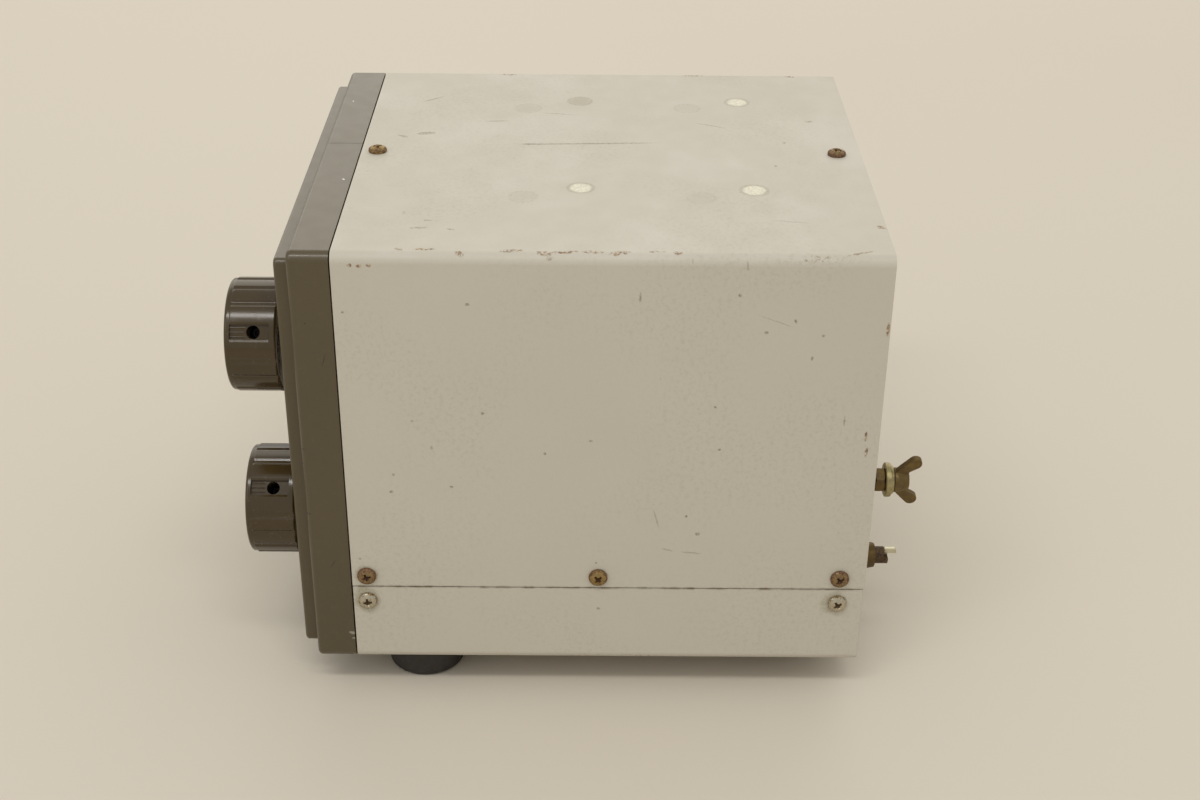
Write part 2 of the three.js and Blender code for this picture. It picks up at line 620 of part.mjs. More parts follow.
function powerInlet() {
  const { width, height, depth } = INLET;
  const body = block(-width / 2, width / 2, -height / 2, height / 2, -depth, 1);
  const flange = block(-width / 2 - 3, width / 2 + 3, -height / 2 - 2, height / 2 + 2, 0.2, 2.6);
  const recess = block(-12, 12, -8, 8, 3 - depth, 4);
  const pins = [[0, -3.5], [-7, 3.5], [7, 3.5]].map(([x, y]) => block(
    x - 1, x + 1, y - 2, y + 2, 2 - depth, -4));
  return join(cut(join(body, flange), recess), ...pins);
}

add("fuse_holder", facingRear(fuseHolder()), BLACK_PLASTIC, FUSE.x, REAR_PANEL.back, FUSE.z);
add("fuse_cap", facingRear(fuseCap()), BLACK_PLASTIC, FUSE.x, REAR_PANEL.back, FUSE.z);
add("power_inlet", facingRear(powerInlet()), BLACK_PLASTIC, INLET.x, REAR_PANEL.back, INLET.z);

// ---------- Transformer and circuit board ----------
function powerTransformer() {
  const base = CHASSIS.bottom + CHASSIS.thick + CLEAR;
  const core = block(-27, 27, -10, 10, base, base + 45);
  const coil = block(-17, 17, -19, 19, base + 8, base + 37);
  const strap = block(-34, 34, -7, 7, base, base + 1.5);
  return join(core, coil, strap);
}

function mainBoard() {
  const { x, y0, y1, z, thick } = BOARD_BOX;
  const top = z + thick;
  const plate = block(-x, x, y0, y1, z, top);
  const cans = [[-48, 84, 9, 30], [-26, 84, 9, 30], [-52, 60, 5, 16], [52, 84, 6, 18], [36, 84, 5, 14]];
  const capacitors = cans.map(
    ([cx, cy, r, h]) => rodZ(r, top - 0.5, top + h, cx, cy, 14));
  const chips = [[-10, 44], [14, 44], [38, 44], [-10, 64], [14, 64], [38, 64]].map(
    ([cx, cy]) => block(cx - 9, cx + 9, cy - 3.5, cy + 3.5, top - 0.5, top + 4));
  return join(plate, ...capacitors, ...chips);
}

add("power_transformer", powerTransformer(), IRON, -46, 128, 0);
add("main_board", mainBoard(), BOARD);

export default generator;
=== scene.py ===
"""The looks of a bench function generator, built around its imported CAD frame.

Shapes are drawn in millimetres. The case's own frame has X from the middle of the width, Y back from the
front edge of the covers, and Z up from the underside of the lower cover. A smaller piece is drawn in a
local frame with +Z pointing out of the surface that it stands on, and put() moves it into its place.
"""
import math
import random

import bmesh
import bpy
from mathutils import Matrix, Vector


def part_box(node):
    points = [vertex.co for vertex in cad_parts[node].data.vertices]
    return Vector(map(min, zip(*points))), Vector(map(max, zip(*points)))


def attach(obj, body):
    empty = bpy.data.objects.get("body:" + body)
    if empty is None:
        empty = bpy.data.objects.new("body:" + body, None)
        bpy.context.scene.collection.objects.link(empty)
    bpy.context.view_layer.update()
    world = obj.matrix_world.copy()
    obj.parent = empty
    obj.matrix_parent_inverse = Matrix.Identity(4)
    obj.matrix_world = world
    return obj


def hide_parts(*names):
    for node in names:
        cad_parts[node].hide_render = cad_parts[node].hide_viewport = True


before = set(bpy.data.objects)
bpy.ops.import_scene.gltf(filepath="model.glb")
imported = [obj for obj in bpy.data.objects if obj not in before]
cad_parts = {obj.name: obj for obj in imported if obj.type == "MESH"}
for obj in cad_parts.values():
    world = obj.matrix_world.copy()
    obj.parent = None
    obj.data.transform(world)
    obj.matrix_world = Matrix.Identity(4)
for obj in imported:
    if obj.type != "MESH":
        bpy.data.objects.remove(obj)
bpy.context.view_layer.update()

MM = 0.001
ORIGIN = Vector((0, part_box("upper_cover")[0].y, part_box("lower_cover")[0].z))
TO_ROW = Matrix.Translation(ORIGIN) @ Matrix.Scale(MM, 4)


def cad(node):
    """The lowest and highest corners of a CAD node in the case's frame, in millimetres."""
    low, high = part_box(node)
    return (low - ORIGIN) / MM, (high - ORIGIN) / MM


def middle(node):
    """The middle of a CAD node's box in the case's frame."""
    low, high = cad(node)
    return (low + high) / 2


# ---------- Driving dimensions ----------
HALF = cad("upper_cover")[1].x
DEPTH = cad("upper_cover")[1].y
HEIGHT = cad("upper_cover")[1].z
LOWER_DEPTH = cad("lower_cover")[1].y
SEAM_TOP = cad("upper_cover")[0].z
SEAM_BOTTOM = cad("lower_cover")[1].z
SHEET = 1.2
BEND = 3.4
BOARD_THICKNESS = 1.6
COVER_HOLE = 1.7

FRAME_FRONT = 13.8
RIM_FRONT = -cad("front_frame")[0].y
RIM = {"side": 5, "top": 4.4, "bottom": 3.6, "wall": 2.6}  # inset from the case's outline, and thickness
PANEL_FACE = cad("front_panel")[0].y
PANEL_BACK = cad("front_panel")[1].y
REAR_FACE = cad("rear_panel")[1].y

KNOB_RADIUS = 18.9
FLUTES = 18
KNOB_LIP = 1.9
FLUTE_DEPTH = 0.42
POCKET = {"width": 4.8, "depth": 1.5, "back": 2.4, "lip": 0.55, "flare": 3.75, "hole": 2.2}
SET_SCREW_ANGLES = {"range": 28.6, "level": 42.7}
RANGE_SCALE = (-150, 30)
WING_TILT = 11.7

INK = 0.05  # thickness of the printed marks
LIFT = 0.01  # gap below them
SYMBOL_LINE = 0.45
TICKS = (20.2, 1.8)  # inner radius and length of the ticks about the two big knobs

CAMERA = {"eye": (580, 80.65, 380.9), "forward": (-0.8723, 0.0056, -0.4889), "roll": 0.6, "lens": 52.8}

random.seed(7)

# ---------- Places: where a local +Z can point, with local +Y up on the upright ones ----------
FRONT = Matrix.Rotation(math.radians(90), 4, "X")
REAR = Matrix.Rotation(math.radians(180), 4, "Z") @ FRONT
RIGHT = Matrix.Rotation(math.radians(90), 4, "Z") @ FRONT
LEFT = Matrix.Rotation(math.radians(-90), 4, "Z") @ FRONT
UP = Matrix.Identity(4)
DOWN = Matrix.Rotation(math.radians(180), 4, "X")
ALONG_X = Matrix.Rotation(math.radians(90), 4, "Y")


def place(x=0, y=0, z=0, facing=UP, turn=0):
    """The matrix that takes a shape from its local frame to its place in the case's frame."""
    return Matrix.Translation((x, y, z)) @ facing @ Matrix.Rotation(math.radians(turn), 4, "Z")


def front_place(node, y=PANEL_FACE, turn=0):
    """The place in line with a CAD node at depth y, with +Z out of the front."""
    centre = middle(node)
    return place(centre.x, y, centre.z, FRONT, turn)


def rear_place(node, turn=0):
    """The place in line with a CAD node on the rear panel, with +Z out of the rear."""
    centre = middle(node)
    return place(centre.x, REAR_FACE, centre.z, REAR, turn)


# ---------- Outlines and solids ----------
def arc(x, y, radius, start, end, steps):
    """Points on an arc about (x, y), from one angle in degrees to another, both ends included."""
    angles = [math.radians(start + (end - start) * i / steps) for i in range(steps + 1)]
    return [(x + radius * math.cos(a), y + radius * math.sin(a)) for a in angles]


def circle(radius, sides=64, turn=0):
    return arc(0, 0, radius, turn, turn + 360 * (sides - 1) / sides, sides - 1)


def rectangle(x0, x1, y0, y1, radius, steps=6):
    """A rectangle with round corners, anticlockwise."""
    return (
        arc(x1 - radius, y0 + radius, radius, -90, 0, steps)
        + arc(x1 - radius, y1 - radius, radius, 0, 90, steps)
        + arc(x0 + radius, y1 - radius, radius, 90, 180, steps)
        + arc(x0 + radius, y0 + radius, radius, 180, 270, steps)
    )


def raised(outline, z):
    return [(x, y, z) for x, y in outline]


def loft(loops, closed=False):
    """A skin over loops of equally many points, closed on itself or with a face over each end."""
    mesh = bmesh.new()
    rows = [[mesh.verts.new(point) for point in loop] for loop in loops]
    for near, far in zip(rows, rows[1:] + rows[:1] if closed else rows[1:]):
        for i in range(len(near)):
            j = (i + 1) % len(near)
            mesh.faces.new((near[i], near[j], far[j], far[i]))
    if not closed:
        mesh.faces.new(list(reversed(rows[0])))
        mesh.faces.new(rows[-1])
    bmesh.ops.recalc_face_normals(mesh, faces=mesh.faces)
    return mesh


def prism(outline, low, high):
    return loft([raised(outline, low), raised(outline, high)])


def turned(profile, sides=64, closed=False):
    """A profile of (radius, height) pairs turned about Z, with a flat face over each end."""
    return loft([raised(circle(radius, sides), z) for radius, z in profile], closed)


def ring(profile, sides=64):
    """A closed profile turned about Z, with a hole through its middle."""
    return turned(profile, sides, closed=True)


def moved(mesh, x=0, y=0, z=0, turn=0, facing=UP):
    bmesh.ops.transform(mesh, matrix=place(x, y, z, facing, turn), verts=mesh.verts)
    return mesh


def merged(*meshes):
    """Several meshes side by side in one, with no boolean."""
    whole = bmesh.new()
    for mesh in meshes:
        data = bpy.data.meshes.new("part")
        mesh.to_mesh(data)
        mesh.free()
        whole.from_mesh(data)
        bpy.data.meshes.remove(data)
    return whole


def to_object(name, mesh):
    data = bpy.data.meshes.new(name)
    mesh.to_mesh(data)
    mesh.free()
    obj = bpy.data.objects.new(name, data)
    bpy.context.scene.collection.objects.link(obj)
    return obj


def modify(obj, kind, **settings):
    """Adds a modifier and bakes it into the mesh."""
    modifier = obj.modifiers.new(kind, kind)
    for key, value in settings.items():
        setattr(modifier, key, value)
    evaluated = obj.evaluated_get(bpy.context.evaluated_depsgraph_get())
    old = obj.data
    obj.data = bpy.data.meshes.new_from_object(evaluated)
    obj.modifiers.clear()
    bpy.data.meshes.remove(old)


def boolean(obj, mesh, operation):
    tool = to_object("tool", mesh)
    modify(obj, "BOOLEAN", object=tool, operation=operation, solver="EXACT", use_self=True)
    data = tool.data
    bpy.data.objects.remove(tool)
    bpy.data.meshes.remove(data)


def cut(obj, mesh):
    boolean(obj, mesh, "DIFFERENCE")


def join(obj, mesh):
    boolean(obj, mesh, "UNION")


def soften(obj, width, steps=2, angle=35):
    """Rounds the sharp edges."""
    modify(obj, "BEVEL", width=width, segments=steps, limit_method="ANGLE",
           angle_limit=math.radians(angle), use_clamp_overlap=True, miter_outer="MITER_ARC")


def shade(obj, angle=38):
    """Smooth shading, with hard edges where faces meet at more than the angle."""
    data = obj.data
    data.polygons.foreach_set("use_smooth", [True] * len(data.polygons))
    mesh = bmesh.new()
    mesh.from_mesh(data)
    limit = math.radians(angle)
    for edge in mesh.edges:
        edge.smooth = len(edge.link_faces) == 2 and edge.calc_face_angle(0) < limit
    mesh.to_mesh(data)
    mesh.free()
    modify(obj, "WEIGHTED_NORMAL", keep_sharp=True, weight=60)


def remember_local(obj):
    """Keeps each point's local place in an attribute, for the materials."""
    data = obj.data
    attribute = data.attributes.new("local", "FLOAT_VECTOR", "POINT")
    attribute.data.foreach_set("vector", [value for v in data.vertices for value in v.co])


def put(obj, look, slot, at=UP, body="case", replaces=()):
    """Moves a finished shape from its local frame into the row frame, and hangs it on its body."""
    shade(obj)
    remember_local(obj)
    obj.data.transform(TO_ROW @ at)
    obj.data.materials.clear()
    obj.data.materials.append(look)
    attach(obj, body)
    if replaces:
        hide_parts(*replaces)


def add(name, mesh, *where, **more):
    """Makes a piece of a mesh, and puts it in its place."""
    put(to_object(name, mesh), *where, **more)


# ---------- Material building ----------
def srgb(red, green, blue):
    """A colour from display values of 0 to 255, as the linear colour that a shader takes."""
    def linear(value):
        share = value / 255
        return share / 12.92 if share <= 0.04045 else ((share + 0.055) / 1.055) ** 2.4
    return (linear(red), linear(green), linear(blue), 1)


class Look:
    """A material's node tree. Each method adds nodes and returns the socket that they end in.

    A node is always made after the nodes that feed it. The renderer works through them in that order, so
    only a few values wait at any time, even in a material with hundreds of nodes.
    """

    def __init__(self, name, metallic=0.0, coat=0.0):
        self.material = bpy.data.materials.new(name)
        self.material.use_nodes = True
        self.tree = self.material.node_tree
        self.shader = self.tree.nodes["Principled BSDF"]
        self.shader.inputs["Metallic"].default_value = metallic
        self.shader.inputs["Coat Weight"].default_value = coat
        self.normal = self.node("ShaderNodeTexCoord", output="Normal")
        from_row, offset = self.normal.node.outputs["Object"], tuple(-value / MM for value in ORIGIN)
        self.place = self.vector("MULTIPLY_ADD", from_row, (1 / MM,) * 3, offset)
        self.local = self.node("ShaderNodeAttribute", attribute_name="local", output="Vector")
        self.color = None
        self.bumped = None

    def node(self, kind, *values, output=0, **settings):
        """Adds a node, feeds its inputs in their order, and returns one of its outputs."""
        node = self.tree.nodes.new(kind)
        for key, value in settings.items():
            setattr(node, key, value)
        for socket, value in zip(node.inputs, values):
            self.feed(socket, value)
        return node.outputs[output]

    def feed(self, socket, value):
        if isinstance(value, bpy.types.NodeSocket):
            self.tree.links.new(value, socket)
        else:
            socket.default_value = value

    def math(self, operation, a, b=0.0):
        return self.node("ShaderNodeMath", a, b, operation=operation)

    def vector(self, operation, a, b=(0, 0, 0), c=(0, 0, 0)):
        output = "Value" if operation in ("LENGTH", "DISTANCE", "DOT_PRODUCT") else "Vector"
        return self.node("ShaderNodeVectorMath", a, b, c, output=output, operation=operation)

    def split(self, vector):
        return self.node("ShaderNodeSeparateXYZ", vector).node.outputs

    def combine(self, x, y, z=0.0):
        return self.node("ShaderNodeCombineXYZ", x, y, z)

    def noise(self, size, at=None, detail=2.0, roughness=0.5, stretch=(1, 1, 1)):
        """Soft random values about 0.5, with blots of the given size in millimetres."""
        at = self.place if at is None else at
        if stretch != (1, 1, 1):
            at = self.vector("DIVIDE", at, stretch)
        value = self.node("ShaderNodeTexNoise", output="Fac")
        inputs = value.node.inputs
        self.feed(inputs["Vector"], at)
        self.feed(inputs["Scale"], 1 / size)
        self.feed(inputs["Detail"], detail)
        self.feed(inputs["Roughness"], roughness)
        return value

    def patches(self, size, start, end, low=0.0, high=1.0, **settings):
        """Noise as patches that go from low to high as it rises from start to end."""
        return self.fade(self.noise(size, **settings), start, end, low, high)

    def specks(self, spacing, radius):
        """Small round specks scattered one to each cell of the given size."""
        distance = self.node("ShaderNodeTexVoronoi", self.place, output="Distance")
        self.feed(distance.node.inputs["Scale"], 1 / spacing)
        return self.fade(distance, radius / spacing, 0.5 * radius / spacing)

    def fade(self, value, start, end, low=0.0, high=1.0):
        """A smooth step from low to high as value goes from start to end."""
        return self.node("ShaderNodeMapRange", value, start, end, low, high, interpolation_type="SMOOTHSTEP")

    def mix(self, factor, a, b):
        """A blend from colour a to b. Each is a socket, or a colour in display values of 0 to 255."""
        color = self.node("ShaderNodeMix", factor, data_type="RGBA", output=2)
        for socket, value in ((6, a), (7, b)):
            self.feed(color.node.inputs[socket], srgb(*value) if isinstance(value, tuple) else value)
        return color

    def tint(self, mask, color, strength=None):
        """Lays a colour over the material's own where the mask is 1."""
        mask = mask if strength is None else self.times(mask, strength)
        self.color = self.mix(mask, self.color, color)

    def chain(self, operation, values):
        """The values put together in pairs, from the first to the last."""
        result = values[0]
        for value in values[1:]:
            result = self.math(operation, result, value)
        return result

    def times(self, *values):
        return self.chain("MULTIPLY", values)

    def most(self, *values):
        return self.chain("MAXIMUM", values)

    def inverse(self, value):
        return self.math("SUBTRACT", 1.0, value)

    def from_level(self, value, level):
        """The distance of a value from a level, on either side."""
        return self.math("ABSOLUTE", self.math("SUBTRACT", value, level))

    def around_axis(self):
        """The local place as a distance from the Z axis and a height along it."""
        x, y, z = self.split(self.local)
        return self.vector("LENGTH", self.combine(x, y)), z

    def edges(self):
        """0 on faces square to an axis, rising to 0.3 on edges rounded between them."""
        return self.inverse(self.most(*self.split(self.vector("ABSOLUTE", self.normal))))

    def blot(self, at, mark):
        """An oval mark given as (x, y, length, width, angle), with plain sums between its two ends."""
        x, y, length, width, angle = mark
        cos, sin = math.cos(math.radians(angle)), math.sin(math.radians(angle))
        squares = []
        for axis in ((2 * cos / length, 2 * sin / length, 0), (-2 * sin / width, 2 * cos / width, 0)):
            away = self.math("SUBTRACT", self.vector("DOT_PRODUCT", at, axis), x * axis[0] + y * axis[1])
            squares.append(self.math("MULTIPLY", away, away))
        return self.fade(self.math("ADD", *squares), 1.3, 0.36)

    def ring(self, at, mark):
        """The outline of a round mark, about two millimetres wide."""
        x, y, length, width, _ = mark
        gap = self.from_level(self.vector("DISTANCE", at, (x, y, 0)), (length + width) / 4)
        return self.fade(gap, 1.0, 0.2)

    def gathered(self, draw, at, marks):
        """The strongest of many marks, each drawn only when the ones before it have been added up."""
        total = draw(at, marks[0])
        for mark in marks[1:]:
            total = self.math("MAXIMUM", total, draw(at, mark))
        return total

    def blots(self, at, marks):
        return self.gathered(self.blot, at, marks)

    def shaken(self, vector, size, amount):
        """The vector moved about at random, so that what is drawn with it gets a ragged outline."""
        color = self.node("ShaderNodeTexNoise", vector, output="Color")
        self.feed(color.node.inputs["Scale"], 1 / size)
        offset = self.vector("SUBTRACT", color, (0.5, 0.5, 0.5))
        return self.vector("MULTIPLY_ADD", offset, (amount,) * 3, vector)

    def bump(self, height, depth):
        """Raises the surface by the height's share of depth millimetres."""
        bumped = self.node("ShaderNodeBump")
        self.feed(bumped.node.inputs["Distance"], depth * MM)
        self.feed(bumped.node.inputs["Height"], height)
        if self.bumped is not None:
            self.feed(bumped.node.inputs["Normal"], self.bumped)
        self.bumped = bumped

    def done(self, roughness, metallic=None):
        self.feed(self.shader.inputs["Base Color"], self.color)
        self.feed(self.shader.inputs["Roughness"], roughness)
        if metallic is not None:
            self.feed(self.shader.inputs["Metallic"], metallic)
        if self.bumped is not None:
            self.feed(self.shader.inputs["Normal"], self.bumped)
        return self.material


# ---------- Wear marks on the covers: (x, y, length, width, angle) on the top -------------------
TOP_PALE_SPOTS = [(32, 77, 9, 8, 0), (33, 135, 9.5, 8.5, 0), (-53, 135, 9, 8, 0)]
TOP_GREY_SPOTS = [(-53, 76, 9, 8, 0)]
TOP_GHOST_SPOTS = [(40, 58, 9, 9, 0), (-45, 57, 9, 9, 0), (-46, 116, 9, 9, 0), (40, 117, 9, 9, 0)]
TOP_SCRATCHES = [
    (-9, 80, 50, 1.2, 93), (-8, 60, 9, 1.7, 90), (-39, 69, 14, 0.5, 82), (-54, 21, 10, 0.8, 130),
    (-28, 124, 12, 0.6, 65), (59, 145, 12, 0.4, 80), (-31, 46, 9, 0.9, 95),
]
TOP_SMUDGES = [
    (-18, 21, 7, 3, 100), (-15, 13, 5, 1.6, 60), (66, 26, 6, 1.6, 95), (60, 28, 4, 1, 85),
    (67, 36, 3, 1, 70), (54, 20, 2, 1.2, 0), (-33, 160, 3, 1.6, 90), (-11, 149, 2, 1.2, 0),
    (11, 144, 1.6, 1.2, 0),
]
TOP_RUST = [
    (82.6, 21, 3, 1.6, 60), (82.4, 29, 7, 1.6, 92), (84.6, 40, 3, 1.8, 60), (83, 56, 8, 2.2, 95),
    (84.2, 66, 5, 2, 80), (83.6, 72.5, 9, 1.8, 95), (83.4, 81, 8, 1.8, 88), (83.8, 89.5, 7, 2.2, 98),
    (83, 101, 6, 1, 90), (83.4, 107.5, 3, 2.2, 90), (83, 164, 9, 1.2, 110), (63, 173.4, 4, 2.4, 40),
    (-82.8, 48, 6, 1.6, 88), (-83.4, 120, 9, 1.8, 92), (-82.9, 158, 4, 2, 70),
]
# On the sides the marks are given by Y and Z.
SIDE_FLECKS = [
    (42, 138, 1.6, 1.2, 0), (3, 135, 1.2, 0.9, 0), (96, 141, 3.4, 0.9, 88), (127, 142, 1.2, 1, 0),
    (136, 129, 1.5, 1.2, 0), (154, 128, 1, 1, 0), (145, 133, 1, 1.6, 20), (151, 120, 0.9, 1.4, 0),
    (23, 96, 1.1, 0.9, 0), (46, 99, 1.4, 1, 30), (29, 86, 0.9, 1.6, 0), (16, 75.5, 1.2, 1, 0),
    (35, 71, 1.3, 0.9, 0), (15, 69, 1.4, 1, 0), (66, 84, 1, 1, 0), (81, 89, 1.2, 0.8, 0),
    (3, 42, 0.9, 0.9, 0), (121, 102, 1, 0.9, 0), (123, 86, 1.2, 1, 0), (113, 60, 1.1, 0.9, 0),
    (117, 53, 1.8, 1.3, 0), (163, 97, 3.6, 0.5, 90), (84, 22, 1.4, 1.1, 0), (83, 41, 0.9, 0.9, 0),
]
SIDE_SCRATCHES = [
    (103, 59, 8, 0.6, 105), (107, 46.5, 4, 0.6, -15), (115, 45.4, 7, 0.6, -5), (112, 154, 3, 0.6, 90),
    (129, 152, 3.4, 0.7, 95), (139, 133, 12, 0.3, 160),
]
SIDE_RUST = [
    (6, 151.2, 1.6, 1.2, 0), (9, 151, 1.8, 1.3, 0), (12, 151.2, 1.6, 1.2, 0), (171, 85.5, 3.6, 1.1, 85),
    (170.4, 91.5, 4, 1, 88), (174.2, 130.5, 5, 1.1, 90), (68, 154, 2.6, 1.6, 30),
]
SCREW_STAINS = [
    (3.4, 27.4, 6, 7, 30), (4.6, 25, 9.4, 9.4, 0), (164.8, 25, 9.2, 9.4, 0), (5, 35.3, 8, 7.6, 0),
]


def enamel(name):
    """Fine textured warm grey enamel, mottled and a little soiled, before any wear."""
    look = Look(name)
    look.color = look.mix(look.noise(65, detail=3), (199, 193, 179), (191, 185, 170))
    mottling = look.patches(1.6, 0.45, 0.72, detail=4, roughness=0.75)
    soiled = look.patches(48, 0.35, 0.65, detail=3)
    look.tint(look.times(mottling, look.fade(soiled, 0, 1, 0.05, 0.3)), (160, 153, 130))
    look.tint(look.specks(14, 0.3), (132, 120, 94), 0.35)
    look.bump(look.noise(0.85, detail=2, roughness=0.6), 0.045)
    return look


def rear_paint():
    look = enamel("rear_paint")
    return look.done(look.patches(9, 0.3, 0.7, 0.5, 0.62, detail=3))


def cover_paint():
    """The enamel rubbed pale on the top, scratched, and rusting along its edges."""
    look = enamel("cover_paint")
    x, y, z = look.split(look.place)
    top = look.fade(z, HEIGHT - 2, HEIGHT - 0.5)
    side = look.inverse(top)
    on_top = look.shaken(look.combine(x, y), 1.3, 1.1)
    near_screws = look.shaken(look.combine(y, z), 2.5, 2.5)
    from_middle = look.math("SUBTRACT", y, DEPTH / 2)
    mirrored = look.math("ADD", look.times(look.math("SIGN", x), from_middle), DEPTH / 2)
    on_side = look.shaken(look.combine(mirrored, z), 0.9, 0.7)

    rubbed = look.times(look.patches(38, 0.45, 0.7, detail=3), top)
    look.tint(rubbed, (210, 204, 194), 0.3)

    grain = look.patches(0.8, 0.35, 0.62, detail=4, roughness=0.65)
    pale = look.times(look.blots(on_top, TOP_PALE_SPOTS), top, look.fade(grain, 0, 1, 0.3, 0.85))
    look.tint(pale, (236, 231, 208))
    grey = look.most(
        look.times(look.blots(on_top, TOP_GREY_SPOTS), 0.4),
        look.times(look.blots(on_top, TOP_GHOST_SPOTS), 0.14),
        look.times(look.gathered(look.ring, on_top, TOP_GHOST_SPOTS), look.fade(grain, 0, 1, 0.05, 0.3)),
        look.times(look.gathered(look.ring, on_top, TOP_PALE_SPOTS + TOP_GREY_SPOTS),
                   look.fade(grain, 0, 1, 0.2, 0.6)),
    )
    look.tint(look.times(grey, top), (156, 148, 122))
    lines = look.most(
        look.times(look.blots(on_top, TOP_SCRATCHES), top, look.fade(grain, 0, 1, 0.35, 0.65)),
        look.times(look.blots(on_top, TOP_SMUDGES), top, look.fade(grain, 0, 1, 0.1, 0.6)),
        look.times(look.blots(on_side, SIDE_SCRATCHES), side, 0.36),
        look.times(look.blots(on_side, SIDE_FLECKS), side, look.fade(grain, 0, 1, 0.35, 0.75)),
    )
    look.tint(lines, (120, 108, 82))
    stains = look.times(look.blots(near_screws, SCREW_STAINS), side, look.fade(grain, 0, 1, 0.25, 0.5))
    look.tint(stains, (136, 128, 92))

    seam = look.fade(look.from_level(z, (SEAM_TOP + SEAM_BOTTOM) / 2), 0.9, 0.1)
    dirt = look.times(seam, look.patches(3.5, 0.4, 0.7, 0.1, 0.75, detail=4))
    look.tint(dirt, (112, 92, 60))

    ragged = look.noise(1.1, detail=5, roughness=0.75)
    patchy = look.patches(24, 0.52, 0.7, detail=2)
    edge = look.fade(look.edges(), 0.03, 0.16)
    rust = look.most(
        look.times(edge, patchy, look.fade(ragged, 0.53, 0.62)),
        look.times(look.blots(on_top, TOP_RUST), top, look.fade(ragged, 0.43, 0.56)),
        look.times(look.blots(on_side, SIDE_RUST), side, look.fade(ragged, 0.38, 0.52)),
    )
    flaky = look.patches(0.7, 0.35, 0.65, detail=3)
    rust_color = look.mix(flaky, (92, 64, 36), (166, 132, 88))
    look.tint(rust, rust_color, 0.85)

    roughness = look.patches(9, 0.3, 0.7, 0.5, 0.62, detail=3)
    return look.done(look.most(roughness, look.times(rust, 0.85)))


FRAME_TOP_CHIPS = [(26, -3, 1.3, 0.8, 30), (-51, -9, 0.9, 0.5, 0)]
FRAME_CHIPS = [(-1.2, 11, 1.3, 2.6, 75), (-0.9, 8.8, 0.7, 1.2, 90)]
FRAME_SCRATCHES = [
    (-13.2, 85, 2.2, 0.6, 5), (-13.6, 82, 0.8, 0.8, 0), (-13.4, 79.6, 0.7, 1.1, 0), (-13, 60, 0.8, 1.8, 80),
    (-17.6, 96, 0.7, 1.4, 0), (-9, 131, 0.8, 0.5, 0), (-6, 40, 3.5, 0.3, 60), (-4, 118, 5, 0.25, 75),
]


def frame_paint():
    """Satin olive-brown enamel on the front frame, with a few nicks down to the metal."""
    look = Look("frame_paint", coat=0.3)
    look.shader.inputs["Coat Roughness"].default_value = 0.14
    x, y, z = look.split(look.place)
    at = look.shaken(look.combine(y, z), 0.8, 0.5)
    right = look.fade(x, HALF - 2, HALF - 1)
    look.color = look.mix(look.noise(45, detail=3), (82, 70, 45), (74, 63, 40))
    dust = look.patches(3, 0.5, 0.8, detail=5, roughness=0.7)
    look.tint(dust, (118, 109, 88), 0.1)
    worn = look.times(look.fade(look.edges(), 0.08, 0.25), look.patches(7, 0.5, 0.75, detail=4))
    look.tint(worn, (124, 116, 94), 0.22)
    at_top = look.shaken(look.combine(x, y), 0.8, 0.4)
    fleck = look.times(look.blots(at_top, FRAME_TOP_CHIPS), look.fade(z, HEIGHT - 1, HEIGHT - 0.3))
    look.tint(fleck, (226, 222, 210))
    scratches = look.times(look.blots(at, FRAME_SCRATCHES), right)
    look.tint(scratches, (44, 36, 24), 0.8)
    chips = look.times(look.blots(at, FRAME_CHIPS), right)
    look.tint(chips, (160, 153, 136), 0.7)
    look.bump(look.noise(0.6, detail=2), 0.008)
    look.bump(look.inverse(look.most(chips, scratches)), 0.06)
    return look.done(look.patches(6, 0.3, 0.7, 0.34, 0.39, detail=3))


def panel_paint():
    """Fine matt grey-brown paint on the front panel."""
    look = Look("panel_paint")
    look.color = look.mix(look.noise(50, detail=3), (112, 104, 88), (100, 93, 78))
    grime = look.patches(14, 0.5, 0.78, detail=5, roughness=0.65)
    look.tint(grime, (84, 76, 58), 0.25)
    look.tint(look.specks(11, 0.25), (150, 142, 122), 0.4)
    look.bump(look.noise(0.45, detail=2), 0.03)
    return look.done(look.patches(7, 0.3, 0.7, 0.46, 0.58))


def ink(name, light, dark):
    """Screen-printed ink, a little uneven and worn."""
    look = Look(name)
    worn = look.patches(1.4, 0.55, 0.8, detail=4, roughness=0.7)
    look.bump(look.noise(0.2), 0.01)
    look.color = look.mix(look.times(worn, 0.6), light, dark)
    return look.done(look.fade(worn, 0, 1, 0.45, 0.6))


def knob_plastic():
    """Dark grey-brown moulded plastic, polished on its ribs by fingers and dusty in its flutes."""
    look = Look("knob_plastic")
    radius, _ = look.around_axis()
    look.color = look.mix(look.noise(12, detail=3), (68, 54, 27), (59, 46, 22))
    dust = look.patches(2.5, 0.5, 0.8, detail=5, roughness=0.7)
    in_flutes = look.fade(radius, KNOB_RADIUS - 0.1, KNOB_RADIUS - FLUTE_DEPTH)
    look.tint(look.times(dust, look.fade(in_flutes, 0, 1, 0.1, 0.3)), (104, 96, 76))
    look.bump(look.noise(0.35, detail=2), 0.008)
    return look.done(look.fade(dust, 0, 1, 0.17, 0.36))


def plastic(name, light, dark, roughness):
    """Moulded plastic with a fine spark-eroded grain and handling marks."""
    look = Look(name)
    look.color = look.mix(look.noise(9, detail=4), light, dark)
    grime = look.times(look.fade(look.edges(), 0.3, 0.02), look.patches(4, 0.5, 0.8, detail=4))
    look.tint(grime, (96, 88, 66), 0.2)
    look.bump(look.noise(0.3, detail=2), 0.012)
    return look.done(look.patches(3, 0.3, 0.7, roughness - 0.07, roughness + 0.08, detail=4))


